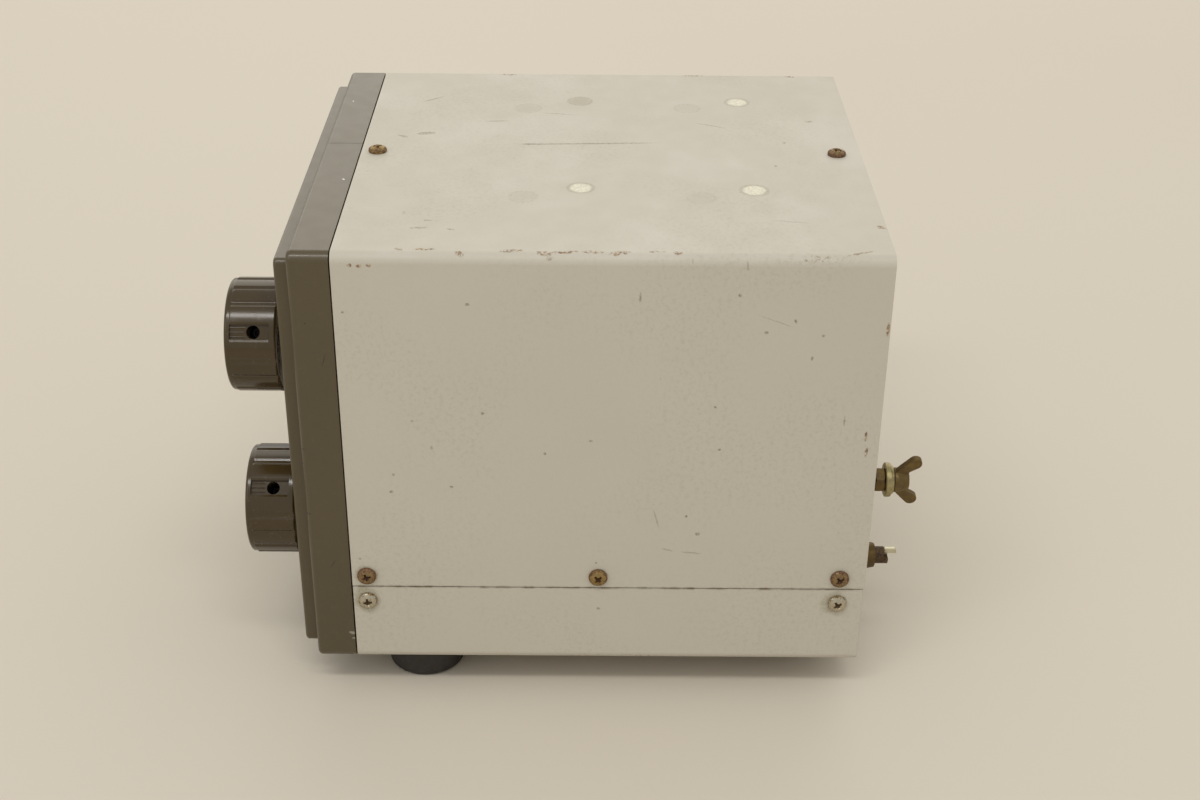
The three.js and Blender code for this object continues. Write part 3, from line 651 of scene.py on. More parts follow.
def rubber():
    """Matt charcoal rubber, greyed by dust and scuffed at its sole."""
    look = Look("foot_rubber")
    look.color = look.mix(look.noise(6, detail=4), (46, 41, 37), (36, 32, 28))
    dust = look.patches(1.6, 0.45, 0.75, detail=5, roughness=0.75)
    look.tint(dust, (88, 82, 72), 0.35)
    look.bump(look.noise(0.5, detail=3), 0.05)
    return look.done(look.fade(dust, 0, 1, 0.68, 0.88))


def metal(name, light, dark, roughness, brushed=(1, 1, 1), tarnish=None, amount=0.5):
    """Plated or bare metal with fine tool marks, and blotches of tarnish where a colour is given."""
    look = Look(name, metallic=1.0)
    look.color = look.mix(look.noise(4, detail=4), light, dark)
    marks = look.noise(0.25, at=look.local, detail=3, stretch=brushed)
    look.tint(look.fade(marks, 0.5, 0.8), dark, 0.3)
    rough = look.patches(2, 0.3, 0.7, roughness - 0.06, roughness + 0.08, detail=4)
    metallic = None
    if tarnish is not None:
        spread = look.patches(1.7, 0.62 - amount * 0.3, 0.7, detail=5, roughness=0.7)
        look.tint(spread, tarnish, 0.85)
        rough = look.most(rough, look.times(spread, 0.62))
        metallic = look.fade(spread, 0, 1, 1.0, 0.25)
    look.bump(marks, 0.012)
    return look.done(rough, metallic)


def trim_shaft_metal():
    """A shaft browned by tarnish along its round part, painted brown as shade on the lower side of its cut
    end, and bright where its end is cut to a tongue.
    """
    look = Look("trim_shaft_metal", metallic=1.0)
    _, y, z = look.split(look.local)
    ragged = look.math("ADD", z, look.noise(1.2, detail=3))
    # Tarnish where z is below 10.6 to 11.4, plus painted shade: the lower side of the cut end, below local Y
    # 0.7 to 1.0, is painted brown.
    tarnish_and_shade = look.most(look.fade(ragged, 11.4, 10.6), look.fade(y, 1.0, 0.7))
    look.color = look.mix(look.noise(1.5), (214, 210, 186), (186, 180, 152))
    brown = look.mix(look.patches(0.9, 0.35, 0.65, detail=4), (92, 70, 42), (58, 42, 24))
    look.bump(look.noise(0.4, detail=3), 0.03)
    rough = look.fade(tarnish_and_shade, 0, 1, 0.34, 0.6)
    look.tint(tarnish_and_shade, brown)
    return look.done(rough, look.fade(tarnish_and_shade, 0, 1, 1.0, 0.3))


def spun_metal(name, light, dark, roughness):
    """Aluminium turned on a lathe, with fine rings about its axis."""
    look = Look(name, metallic=1.0)
    rings = look.noise(0.18, at=look.combine(*look.around_axis()), detail=2)
    look.color = look.mix(rings, light, dark)
    stain = look.patches(6, 0.52, 0.75, detail=5, roughness=0.7)
    look.tint(stain, (140, 132, 112), 0.35)
    look.bump(rings, 0.02)
    return look.done(look.fade(stain, 0, 1, roughness, roughness + 0.15))


def screw_metal(name, light, dark, rust_light, rust_dark, start):
    """A plated screw whose plating has gone dull, with rust spreading from its recess and its rim."""
    look = Look(name, metallic=1.0)
    radius, z = look.around_axis()
    depth = look.fade(z, 1.75, 0.9)
    recess = look.times(depth, look.fade(radius, 2.1, 1.8))
    rim = look.fade(radius, 2.3, 3.1)
    spread = look.noise(1.1, detail=5, roughness=0.7)
    near = look.math("ADD", spread, look.most(look.times(recess, 0.4), look.times(rim, 0.12)))
    rust = look.fade(near, start, start + 0.14)
    look.color = look.mix(look.noise(0.9, detail=3), light, dark)
    rust_color = look.mix(look.patches(0.5, 0.35, 0.65, detail=3), rust_light, rust_dark)
    look.tint(rust, rust_color)
    look.tint(recess, (64, 42, 24), 0.6)
    look.bump(look.noise(0.45, detail=4), 0.07)
    rough = look.fade(rust, 0, 1, 0.34, 0.72)
    return look.done(rough, look.fade(look.most(rust, recess), 0, 1, 1.0, 0.3))


def lens():
    """Ribbed red plastic of a pilot lamp."""
    look = Look("lamp_lens")
    look.shader.inputs["Transmission Weight"].default_value = 0.35
    look.shader.inputs["IOR"].default_value = 1.49
    look.color = look.mix(look.noise(1.5), (172, 30, 22), (128, 18, 14))
    look.bump(look.noise(0.4), 0.01)
    return look.done(look.patches(1, 0.3, 0.7, 0.12, 0.22))


def board_laminate():
    """Green circuit board with tracks under its lacquer, and dark parts standing on it."""
    look = Look("board_laminate")
    z = look.split(look.place)["Z"]
    board_top = cad("main_board")[0].z + BOARD_THICKNESS
    grid = look.vector("MULTIPLY", look.place, (0.09, 0.16, 0.0))
    tracks = look.fade(look.node("ShaderNodeTexBrick", grid, output="Fac"), 0.2, 0.8)
    look.color = look.mix(tracks, (44, 84, 48), (74, 118, 62))
    parts = look.fade(z, board_top + 0.1, board_top + 0.3)
    cans = look.fade(z, board_top + 4.2, board_top + 4.4)
    part_color = look.mix(cans, (34, 33, 34), (38, 66, 112))
    look.tint(parts, part_color)
    look.bump(look.noise(0.8), 0.02)
    return look.done(look.patches(5, 0.3, 0.7, 0.35, 0.5))


def transformer_iron():
    """Varnished laminations with a taped coil at the middle."""
    look = Look("transformer_iron")
    y = look.split(look.place)["Y"]
    coil = look.fade(look.from_level(y, middle("power_transformer").y), 10.1, 10.3)
    laminations = look.noise(0.5, at=look.combine(0.0, y, 0.0), detail=1)
    iron = look.mix(laminations, (92, 88, 82), (62, 58, 54))
    tape = look.mix(look.noise(2, stretch=(4, 4, 0.4)), (196, 168, 84), (170, 140, 62))
    look.bump(laminations, 0.05)
    look.color = look.mix(coil, iron, tape)
    return look.done(look.fade(coil, 0, 1, 0.42, 0.55))


COVER = cover_paint()
REAR_LOOK = rear_paint()
FRAME_LOOK = frame_paint()
PANEL = panel_paint()
WHITE_INK = ink("white_ink", (226, 221, 204), (172, 166, 148))
BLACK_INK = ink("black_ink", (28, 26, 24), (62, 58, 52))
KNOB_LOOK = knob_plastic()
KEY_LOOK = plastic("key_plastic", (214, 207, 188), (200, 192, 170), 0.42)
BLACK_PLASTIC = plastic("black_plastic", (38, 36, 34), (27, 26, 25), 0.42)
WHITE_PLASTIC = plastic("white_insulator", (232, 229, 218), (212, 208, 194), 0.35)
RUBBER = rubber()
RUSTY = screw_metal("rusty_screw", (168, 146, 106), (120, 98, 64), (132, 100, 70), (80, 56, 38), 0.45)
BRASSY = screw_metal("brassy_screw", (178, 152, 104), (134, 110, 70), (124, 94, 56), (84, 60, 38), 0.5)
BRIGHT = screw_metal("bright_screw", (206, 198, 178), (168, 158, 136), (136, 110, 66), (104, 80, 46), 0.57)
ZINC = metal("zinc_plate", (186, 186, 180), (150, 150, 146), 0.4, brushed=(1, 6, 1))
STEEL = metal("pressed_steel", (178, 178, 174), (140, 140, 136), 0.36)
TURNED = metal("turned_metal", (206, 205, 198), (166, 165, 158), 0.28, brushed=(3, 3, 0.5))
NICKEL = metal("jack_nickel", (212, 208, 198), (174, 170, 160), 0.22, brushed=(3, 3, 0.5),
               tarnish=(120, 110, 88), amount=0.1)
GOLD = metal("contact_gold", (226, 188, 108), (190, 150, 78), 0.24)
BLACKENED = metal("black_steel", (44, 42, 42), (26, 25, 25), 0.38)
DIAL_LOOK = spun_metal("dial_aluminium", (204, 201, 192), (172, 169, 160), 0.3)
DARK_BRASS = metal("terminal_brass", (138, 118, 74), (92, 76, 46), 0.42, tarnish=(80, 60, 38),
                   amount=0.75)
WASHER_METAL = metal("terminal_washer", (188, 178, 134), (140, 128, 88), 0.4,
                     tarnish=(118, 98, 66), amount=0.5)
NUT_BRASS = metal("trim_nut_brass", (122, 100, 60), (82, 66, 40), 0.46, tarnish=(62, 48, 30),
                  amount=0.6)
TRIM_METAL = trim_shaft_metal()
LENS = lens()
BOARD = board_laminate()
IRON = transformer_iron()


# ---------- Covers ----------
def folded_sheet(top, leg_end, depth):
    """A sheet bent down along both sides of the flat at height top, its legs ending at leg_end."""
    side = 1 if top > leg_end else -1
    path = [(-HALF, leg_end, -1, 0)]
    for start in (180, 90):
        centre = (HALF - BEND) * (-1 if start == 180 else 1)
        for degrees in range(0, 91, 9):
            angle = math.radians(start - degrees)
            out = (math.cos(angle), side * math.sin(angle))
            path.append((centre + BEND * out[0], top - side * BEND + BEND * out[1], *out))
    path.append((HALF, leg_end, 1, 0))
    loops = []
    for x, z, out_x, out_z in path:
        inner = (x - SHEET * out_x, z - SHEET * out_z)
        loops.append([(x, 0, z), (x, depth, z), (inner[0], depth, inner[1]), (inner[0], 0, inner[1])])
    return loft(loops)


def drill(obj, radius, facing, x, y, z, depth=3):
    cut(obj, moved(prism(circle(radius, 40), -depth, 1), x, y, z, facing=facing))


def screw_places(prefix):
    """Each cover screw's name, outward direction and place on the sheet, for the CAD nodes of one row."""
    directions = {"left": (LEFT, -HALF), "right": (RIGHT, HALF)}
    for node in sorted(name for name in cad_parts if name.startswith(prefix)):
        centre = middle(node)
        if prefix == "top":
            yield node, UP, (0, centre.y, HEIGHT)
        else:
            facing, x = directions["left" if "_left_" in node else "right"]
            yield node, facing, (x, centre.y, centre.z)


def make_covers():
    for name, shape, rows in (
        ("upper_cover_shell", folded_sheet(HEIGHT, SEAM_TOP, DEPTH), ("upper_cover_screw", "top")),
        ("lower_cover_shell", folded_sheet(0, SEAM_BOTTOM, LOWER_DEPTH), ("lower_cover_screw",)),
    ):
        shell = to_object(name, shape)
        for row in rows:
            for _, facing, centre in screw_places(row):
                drill(shell, COVER_HOLE, facing, *centre)
        soften(shell, 0.28)
        put(shell, COVER, "cover_paint", replaces=[name.replace("_shell", "")])


# ---------- Cover screws ----------
SCREW_TURNS = {
    "upper_cover_screw_right_front": 20, "upper_cover_screw_right_middle": 43,
    "upper_cover_screw_right_rear": 38, "lower_cover_screw_right_front": 8,
    "lower_cover_screw_right_rear": 33, "top_cover_screw_front": 15, "top_cover_screw_rear": 62,
}


def cross_arm(turn):
    """One tapered arm of a cross recess: wide and long at the top, narrow and short at the bottom."""
    loops = [raised([(-l, -w), (l, -w), (l, w), (-l, w)], z) for l, w, z in
             ((0.6, 0.26, 1.0), (1.3, 0.36, 1.35), (1.8, 0.46, 2.3))]
    return moved(loft(loops), turn=turn)


def make_screw(node, look, slot, at):
    dome = [(2.6, -0.05), (3.02, -0.05), (3.2, 0.12), (3.2, 0.72)]
    dome += [(3.2 * math.cos(a), 0.72 + 1.33 * math.sin(a)) for a in
             (math.radians(d) for d in (12, 24, 36, 48, 60))]
    dome += [(1.0, 2.02), (0.5, 2.06)]
    screw = to_object(node + "_head", turned([(1.45, -6.5), (1.45, -0.05)] + dome, 48))
    for arm in (0, 90):
        cut(screw, cross_arm(arm))
    cut(screw, turned([(0.35, 0.8), (0.75, 1.3), (0.95, 2.3)], 24))
    soften(screw, 0.07, angle=45)
    put(screw, look, slot, at, replaces=[node])


def screw_finish(node):
    """A screw's material and surface slot: the lower cover's screws are newer than the others."""
    if node.startswith("lower"):
        return BRIGHT, "bright_screw"
    brassy = "middle" in node or node == "top_cover_screw_front"
    return BRASSY if brassy else RUSTY, "rusty_screw"


def make_screws():
    for row in ("upper_cover_screw", "top", "lower_cover_screw"):
        for node, facing, centre in screw_places(row):
            turn = SCREW_TURNS.get(node, random.randrange(0, 90))
            make_screw(node, *screw_finish(node), place(*centre, facing, turn))


# ---------- Front frame and panel ----------
def frame_loop(inset, y, rim=False):
    """The frame's rectangle at one depth, inset from the case's outline or from the rim's."""
    side, top, bottom = (RIM["side"], RIM["top"], RIM["bottom"]) if rim else (0, 0, 0)
    radius = max(2 - inset * 0.4, 1) if rim else max(BEND - inset, 1)
    half = HALF - side - inset
    return [(x, y, z) for x, z in rectangle(-half, half, bottom + inset, HEIGHT - top - inset, radius)]


def make_front_frame():
    back, round_, fillet = -0.4, 1.7, 0.9
    loops = [frame_loop(0.3, back), frame_loop(0.08, back - 0.08), frame_loop(0, back - 0.35)]
    for inset, y in arc(round_, -FRAME_FRONT + round_, round_, 180, 270, 5):
        loops.append(frame_loop(inset, y))
    for inset, y in arc(-fillet, -FRAME_FRONT - fillet, fillet, 90, 0, 4):
        loops.append(frame_loop(inset, y, rim=True))
    for inset, y in arc(1.2, -RIM_FRONT + 1.2, 1.2, 180, 270, 5):
        loops.append(frame_loop(inset, y, rim=True))
    for inset, y in arc(RIM["wall"] - 0.5, -RIM_FRONT + 0.5, 0.5, 270, 360, 3):
        loops.append(frame_loop(inset, y, rim=True))
    loops.append(frame_loop(RIM["wall"], -FRAME_FRONT + 2, rim=True))
    loops.append(frame_loop(2.5, -FRAME_FRONT + 2))
    loops.append(frame_loop(2.5, back))
    obj = to_object("front_frame_casting", loft(loops, closed=True))
    joint_x, half_joint, joint_depth = -7.5, 0.11, 0.16
    joint = [(joint_x - half_joint, -FRAME_FRONT + 0.3), (joint_x + half_joint, -FRAME_FRONT + 0.3),
             (joint_x + half_joint, 0), (joint_x - half_joint, 0)]
    cut(obj, prism(joint, HEIGHT - joint_depth, HEIGHT + 1))
    nick = turned([(0.1, -0.6), (0.55, 0), (0.75, 0.6)], 16)
    cut(obj, moved(nick, joint_x, -RIM_FRONT + 0.3, HEIGHT - RIM["top"]))
    put(obj, FRAME_LOOK, "frame_paint", replaces=["front_frame"])


def window(x0, x1, z0, z1, radius, y0, y1):
    """A straight-sided tool that cuts a round-cornered window along Y."""
    return loft([[(x, y, z) for x, z in rectangle(x0, x1, z0, z1, radius)] for y in (y0, y1)])


def control_centre(node):
    centre = middle(node)
    return centre.x, centre.z


KEY_GAP = 0.5
KEY_BACK = -12.0  # where the caps end and their stems begin
KEYS = ("sine_key", "triangle_key", "square_key")
JACKS = ("main_output_jack", "sync_output_jack")


def make_front_panel():
    low, high = cad("front_panel")
    plate = window(low.x, high.x, low.z, high.z, 1, PANEL_FACE, PANEL_BACK)
    obj = to_object("front_panel_plate", plate)
    holes = [(node, 5.1) for node in ("range_shaft", "level_shaft", "frequency_shaft", "offset_knob")]
    holes += [("pilot_lamp", 3.5)] + [(node, 5.2) for node in JACKS]
    for node, radius in holes:
        x, z = control_centre(node)
        drill(obj, radius, FRONT, x, PANEL_FACE, z, depth=4)
    for node in KEYS + ("power_button",):
        low, high = cad(node)
        sides = (low.x - KEY_GAP, high.x + KEY_GAP, low.z - KEY_GAP, high.z + KEY_GAP)
        cut(obj, window(*sides, 0.6, PANEL_FACE - 1, PANEL_BACK + 1))
    soften(obj, 0.25)
    put(obj, PANEL, "panel_paint", replaces=["front_panel"])


# ---------- Printed scales and symbols: flat shapes in X and Y with the ink's thickness ----------
def strip(points, width):
    """A line of the given width through the points."""
    edges = []
    for i, (x, y) in enumerate(points):
        before, after = points[max(i - 1, 0)], points[min(i + 1, len(points) - 1)]
        dx, dy = after[0] - before[0], after[1] - before[1]
        length = math.hypot(dx, dy)
        edges.append((x, y, -dy / length * width / 2, dx / length * width / 2))
    loops = [[(x - nx, y - ny, 0), (x + nx, y + ny, 0), (x + nx, y + ny, INK), (x - nx, y - ny, INK)]
             for x, y, nx, ny in edges]
    return loft(loops)


def spoke(degrees, inner, outer, width):
    """A tick at an angle measured clockwise from straight up."""
    angle = math.radians(90 - degrees)
    return strip([(r * math.cos(angle), r * math.sin(angle)) for r in (inner, outer)], width)


def number(text, size, degrees, radius):
    """A number, centred on a point at an angle clockwise from straight up."""
    curve = bpy.data.curves.new("number", "FONT")
    curve.body = text
    curve.size = size
    curve.align_x = "CENTER"
    curve.align_y = "CENTER"
    curve.extrude = INK / 2
    curve.resolution_u = 3
    obj = bpy.data.objects.new("number", curve)
    bpy.context.scene.collection.objects.link(obj)
    data = bpy.data.meshes.new_from_object(obj.evaluated_get(bpy.context.evaluated_depsgraph_get()))
    mesh = bmesh.new()
    mesh.from_mesh(data)
    bmesh.ops.remove_doubles(mesh, verts=mesh.verts, dist=1e-4)
    bpy.data.objects.remove(obj)
    bpy.data.curves.remove(curve)
    bpy.data.meshes.remove(data)
    angle = math.radians(90 - degrees)
    return moved(mesh, radius * math.cos(angle), radius * math.sin(angle), INK / 2)


def scale_marks(labels, start, end, inner, length, between=1, size=3.2, text_radius=None, limit=1000):
    """Ticks and numbers about a control, evenly from start to end, where they fit within the limit in X."""
    text_radius = inner + length + 0.9 * size if text_radius is None else text_radius
    marks = []
    for i in range((len(labels) - 1) * between + 1):
        angle = start + (end - start) * i / between / (len(labels) - 1)
        reach = math.sin(math.radians(angle))
        main = i % between == 0
        if reach * (inner + length) < limit:
            reach_out = inner + (length if main else 0.6 * length)
            marks.append(spoke(angle, inner, reach_out, 0.45 if main else 0.3))
        if main and labels[i // between] and reach * text_radius + 0.4 * size < limit:
            marks.append(number(labels[i // between], size, angle, text_radius))
    return marks


def at_control(node, marks):
    x, z = control_centre(node)
    return [moved(mark, x, z) for mark in marks]


def wave_symbol(kind, width, height):
    points = {
        "sine": [(t / 16 - 0.5, 0.5 * math.sin(2 * math.pi * t / 16)) for t in range(17)],
        "triangle": [(-0.5, 0), (-0.25, 0.5), (0.25, -0.5), (0.5, 0)],
        "square": [(-0.5, -0.5), (-0.5, 0.5), (0, 0.5), (0, -0.5), (0.5, -0.5), (0.5, 0.5)],
    }[kind]
    points = [(x * width, y * height) for x, y in points]
    if kind == "sine":
        return [strip(points, SYMBOL_LINE)]
    return [strip([a, b], SYMBOL_LINE) for a, b in zip(points, points[1:])]


def ring_mark(radius, width, start=0, end=360):
    steps = max(int((end - start) / 8), 8)
    if end - start < 360:
        return strip(arc(0, 0, radius, start, end, steps), width)
    outer = circle(radius + width / 2, steps)
    inner = circle(radius - width / 2, steps)
    return loft([raised(outer, 0), raised(outer, INK), raised(inner, INK), raised(inner, 0)], closed=True)


def make_panel_marks():
    room = cad("front_panel")[1].x - middle("range_shaft").x - 0.8
    steps = [str(n) for n in range(1, 8)]
    marks = at_control("range_shaft", scale_marks(steps, *RANGE_SCALE, *TICKS, limit=room))
    tens = ["0", "2", "4", "6", "8", "10"]
    marks += at_control("level_shaft", scale_marks(tens, -150, 150, *TICKS, between=2, limit=room))
    marks += at_control("offset_knob", scale_marks(["-", "", "0", "", "+"], -150, 150, 9.4, 1.4, between=2))
    x, z = control_centre("frequency_dial")
    marks.append(strip([(x, z + 34.4), (x, z + 38.6)], 0.9))
    for node in KEYS:
        x, z = control_centre(node)
        symbol = wave_symbol(node.split("_")[0], 6.5, 3)
        marks += [moved(line, x, z + 8.4) for line in symbol]
    x, z = control_centre("power_button")
    power_symbol = (ring_mark(2, SYMBOL_LINE, -235, 55), strip([(0, 0.8), (0, 2.8)], SYMBOL_LINE))
    marks += [moved(line, x + 11.5, z) for line in power_symbol]
    for node, kind in zip(JACKS, ("sine", "square")):
        x, z = control_centre(node)
        marks += [moved(ring_mark(8.6, 0.4), x, z)]
        marks += [moved(line, x + 14, z) for line in wave_symbol(kind, 5.5, 2.8)]
    x, z = control_centre("pilot_lamp")
    marks.append(moved(ring_mark(6, 0.4), x, z))
    at = place(y=PANEL_FACE - LIFT, facing=FRONT)
    add("panel_markings", merged(*marks), WHITE_INK, "panel_paint", at)


# ---------- Knobs ----------
def fluted_loop(radius, depth, z, plain=0, steps=20):
    """A loop of broad ribs with narrow flutes between them, and no flute within the plain angle of +X."""
    sides = FLUTES * steps
    loop = []
    for i in range(sides):
        angle = 2 * math.pi * i / sides
        share = max(0.0, min(1.0, (0.22 - abs(i / steps % 1 - 0.5)) / 0.15))
        if math.cos(angle) > math.cos(math.radians(plain)):
            share = 0.0
        r = radius - depth * share * share * (3 - 2 * share)
        loop.append((r * math.cos(angle), r * math.sin(angle), z))
    return loop


def fluted_knob(name, radius, length, face_radius, plain=0):
    """A knob with flutes up to a plain lip, a round front edge and a face sunk inside it."""
    depth = FLUTE_DEPTH
    lip = length - KNOB_LIP
    levels = [(radius - 0.75, 0, 0), (radius - 0.65, 0, 0.35), (radius - 0.15, depth - 0.1, 0.6),
              (radius, depth, 0.9), (radius, depth, lip - 0.35), (radius - 0.12, 0.25, lip - 0.05),
              (radius - 0.3, 0.05, lip), (radius - 0.34, 0, lip + 0.1)]
    loops = [fluted_loop(*level, plain) for level in levels]
    round_ = 1.0
    for z_angle in range(0, 91, 15):
        a = math.radians(z_angle)
        r = radius - 0.34 - round_ + round_ * math.cos(a)
        loops.append(fluted_loop(r, 0, length - round_ + round_ * math.sin(a)))
    for inset, sunk in ((-0.5, 0), (-0.15, 0.1), (0, 0.3), (0.2, 0.75), (0.6, 0.9)):
        loops.append(fluted_loop(face_radius - inset, 0, length - sunk))
    return to_object(name, loft(loops))


def cut_pocket(knob, front, hole_back):
    """A flat-bottomed pocket on the knob's side with small ribs on its floor and the set screw's hole.

    Its walls flare out near the knob's surface, so that each long edge is a sloping lip.
    """
    floor = KNOB_RADIUS - POCKET["depth"]
    half, back = POCKET["width"] / 2, POCKET["back"]
    loops = []
    for x, flare in ((floor, 0), (KNOB_RADIUS - POCKET["lip"], 0.05), (KNOB_RADIUS + 0.8, POCKET["flare"])):
        outline = rectangle(-half - flare, half + flare, back - 0.1 * flare, front + 0.1 * flare, 0.5, 4)
        loops.append([(x, y, z) for y, z in outline])
    cut(knob, loft(loops))
    rib_start = hole_back + POCKET["hole"] + 0.4
    for y in (-1.5, 0, 1.5):
        profile = [(0.16, rib_start), (0.24, rib_start + 0.4), (0.24, front + 0.4)]
        join(knob, moved(turned(profile, 12), floor - 0.08, y))
    hole = moved(prism(circle(POCKET["hole"], 40), -1, 17), 2, 0, hole_back, facing=ALONG_X)
    cut(knob, hole)
    soften(knob, 0.2, steps=3, angle=24)


def set_screw(name, height):
    """A grub screw with a hexagon socket, seen down the hole in the knob."""
    radius = POCKET["hole"] - 0.2
    body = [(radius - 0.5, 3.4), (radius, 3.9), (radius, 8.6), (radius - 0.35, 9.0)]
    obj = to_object(name, turned(body, 32))
    cut(obj, prism(circle(1.05, 6), 7.2, 10))
    obj.data.transform(Matrix.Translation((0, 0, height)) @ ALONG_X)
    return obj


def panel_nut(name, corner, low, high, bore, turn, edge):
    """The hexagon nut of a control, turned to the angle that it was tightened at."""
    nut = to_object(name, prism(circle(corner, 6, turn), low, high))
    cut(nut, prism(circle(bore, 48), 0, 4))
    soften(nut, edge)
    return nut


def make_clamp_knob(kind):
    """One of the two big knobs with its set screw, metal cap and pointer, and the nut and washer behind."""
    node, body, shaft = f"{kind}_knob", f"{kind}_control", f"{kind}_shaft"
    low, high = cad(node)
    length = high.y - low.y
    hole_back = high.y - middle(f"{kind}_set_screw").y
    turn = SET_SCREW_ANGLES[kind]
    at = front_place(node, high.y, turn)
    knob = fluted_knob(f"{kind}_knob_moulding", KNOB_RADIUS, length, 15.2, plain=18)
    cut_pocket(knob, length - KNOB_LIP, hole_back)
    put(knob, KNOB_LOOK, "knob_plastic", at, body, [node])
    put(set_screw(f"{kind}_grub_screw", hole_back), BLACKENED, "set_screw", at, body, [f"{kind}_set_screw"])
    disc = turned([(13.2, length - 0.95), (13.2, length - 0.6), (12.9, length - 0.45)], 96)
    add(f"{kind}_knob_cap", disc, DIAL_LOOK, "dial_metal", front_place(node, high.y), body)
    rest = -sum(RANGE_SCALE) / 2 if kind == "range" else 0
    line = moved(strip([(0, 7.5), (0, 12.4)], 1.2), z=length - 0.44)
    add(f"{kind}_pointer", line, BLACK_INK, "knob_plastic", front_place(node, high.y, rest), body)
    nut = panel_nut(f"{kind}_nut", 6.6, 0.56, 1.6, 4.7, turn * 1.7, 0.25)
    put(nut, NICKEL, "control_body", front_place(shaft))
    washer = ring([(7.6, 0), (7.6, 0.45), (7.4, 0.55), (4.8, 0.55), (4.8, 0)])
    add(f"{kind}_washer", washer, NICKEL, "control_body", front_place(shaft, PANEL_FACE - 0.02))


def make_frequency_dial():
    node, body = "frequency_dial", "frequency_control"
    low, high = cad(node)
    radius = (high.x - low.x) / 2
    thick = high.y - low.y
    profile = [(radius - 0.5, 0), (radius, 0.3), (radius, 1.0), (radius - 0.15, 1.2),
               (radius - 2.8, thick - 0.06), (radius - 3.2, thick)]
    profile += [(r, thick) for r in (26, 18.4)] + [(18.1, thick - 0.25), (17.6, thick - 0.3)]
    plate = turned(profile, 128)
    add("frequency_dial_plate", plate, DIAL_LOOK, "dial_metal", front_place(node, high.y), body, [node])
    numbers = [str(n) for n in range(1, 11)]
    marks = scale_marks(numbers, -135, 135, 25.2, 3.6, between=10, size=4.2, text_radius=21.9)
    marks.append(ring_mark(24.9, 0.25))
    add("frequency_scale", merged(*marks), BLACK_INK, "dial_metal", front_place(node, low.y - LIFT), body)

    low, high = cad("frequency_knob")
    length = high.y - low.y
    at = front_place(node, high.y)
    knob = fluted_knob("frequency_knob_moulding", 17, length, 13.2)
    put(knob, KNOB_LOOK, "knob_plastic", at, body, ["frequency_knob"])
    line = moved(strip([(0, 8), (0, 12.2)], 1.1), z=length - 0.89)
    add("frequency_pointer", line, WHITE_INK, "knob_plastic", at, body)


def grooved(levels, sides, grooves):
    """A skin over (radius, groove depth, height) levels, with round grooves running along it."""
    loops = []
    for radius, depth, height in levels:
        loop = []
        for angle in (2 * math.pi * i / sides for i in range(sides)):
            r = radius - depth * max(0.0, math.cos(grooves * angle)) ** 2
            loop.append((r * math.cos(angle), r * math.sin(angle), height))
        loops.append(loop)
    return loft(loops)


def make_offset_knob():
    """A small pushed-on knob, moulded in one piece with its stem."""
    low, high = cad("offset_knob")
    back = PANEL_FACE - 1.2
    length = back - low.y
    levels = [(7.4, 0.35, 0), (7.95, 0.35, 0.5), (7.8, 0.35, length - 2.2), (7.5, 0, length - 1.2),
              (6.9, 0, length - 0.5), (5.8, 0, length - 0.12), (4.5, 0, length)]
    stem = turned([(3, back - high.y), (3, 0.5)], 32)
    at, body = front_place("offset_knob", back), "offset_control"
    add("offset_knob_moulding", merged(grooved(levels, 240, 24), stem), KNOB_LOOK, "knob_plastic", at, body,
        ["offset_knob"])
    line = moved(strip([(0, 0.6), (0, 4.3)], 0.9), z=length + 0.005)
    add("offset_pointer", line, WHITE_INK, "knob_plastic", at, body)


# ---------- Keys, lamp and jacks ----------
def key_cap(half_x, half_y, length, stem, stem_length):
    """A dished cap on a square stem."""
    levels = [(0, 0), (0, length - 1), (0.12, length - 0.5), (0.4, length - 0.15), (0.9, length),
              (1.5, length - 0.04), (2.3, length - 0.3), (3.2, length - 0.48), (3.7, length - 0.52)]
    loops = [raised(rectangle(-half_x + i, half_x - i, -half_y + i, half_y - i, max(0.9 - i * 0.2, 0.3)), z)
             for i, z in levels]
    return merged(loft(loops), prism(rectangle(-stem, stem, -stem, stem, 0.3), -stem_length, 0.5))


def make_keys():
    keys = [(key, KEY_LOOK, "key_plastic", 1.5) for key in KEYS]
    for node, look, slot, stem in keys + [("power_button", BLACK_PLASTIC, "power_plastic", 2.0)]:
        low, high = cad(node)
        cap = key_cap((high.x - low.x) / 2, (high.z - low.z) / 2, KEY_BACK - low.y, stem, high.y - KEY_BACK)
        add(node + "_cap", cap, look, slot, front_place(node, KEY_BACK), node, [node])


def make_lamp():
    at = front_place("pilot_lamp")
    profile = [(2.9, -5.5), (2.9, 2.0)]
    for angle in (math.radians(a) for a in range(12, 85, 12)):
        profile.append((2.9 * math.cos(angle), 2.0 + 2.5 * math.sin(angle)))
    add("pilot_lamp_lens", turned(profile, 40), LENS, "lamp_lens", at, replaces=["pilot_lamp"])
    bezel = [(4.6, 0.0), (4.6, 0.6), (4.4, 1.1), (3.9, 1.5), (3.4, 1.6), (3.05, 1.45), (3.05, 0.0)]
    add("pilot_lamp_bezel", ring(bezel), NICKEL, "jack_nickel", at)


def threaded(radius, low, high, pitch=0.6, depth=0.22):
    """Profile points of a thread drawn as rings."""
    points = []
    z = low
    while z + pitch <= high:
        points += [(radius - depth, z), (radius, z + pitch * 0.35), (radius, z + pitch * 0.6)]
        z += pitch
    return points + [(radius - depth, high)]


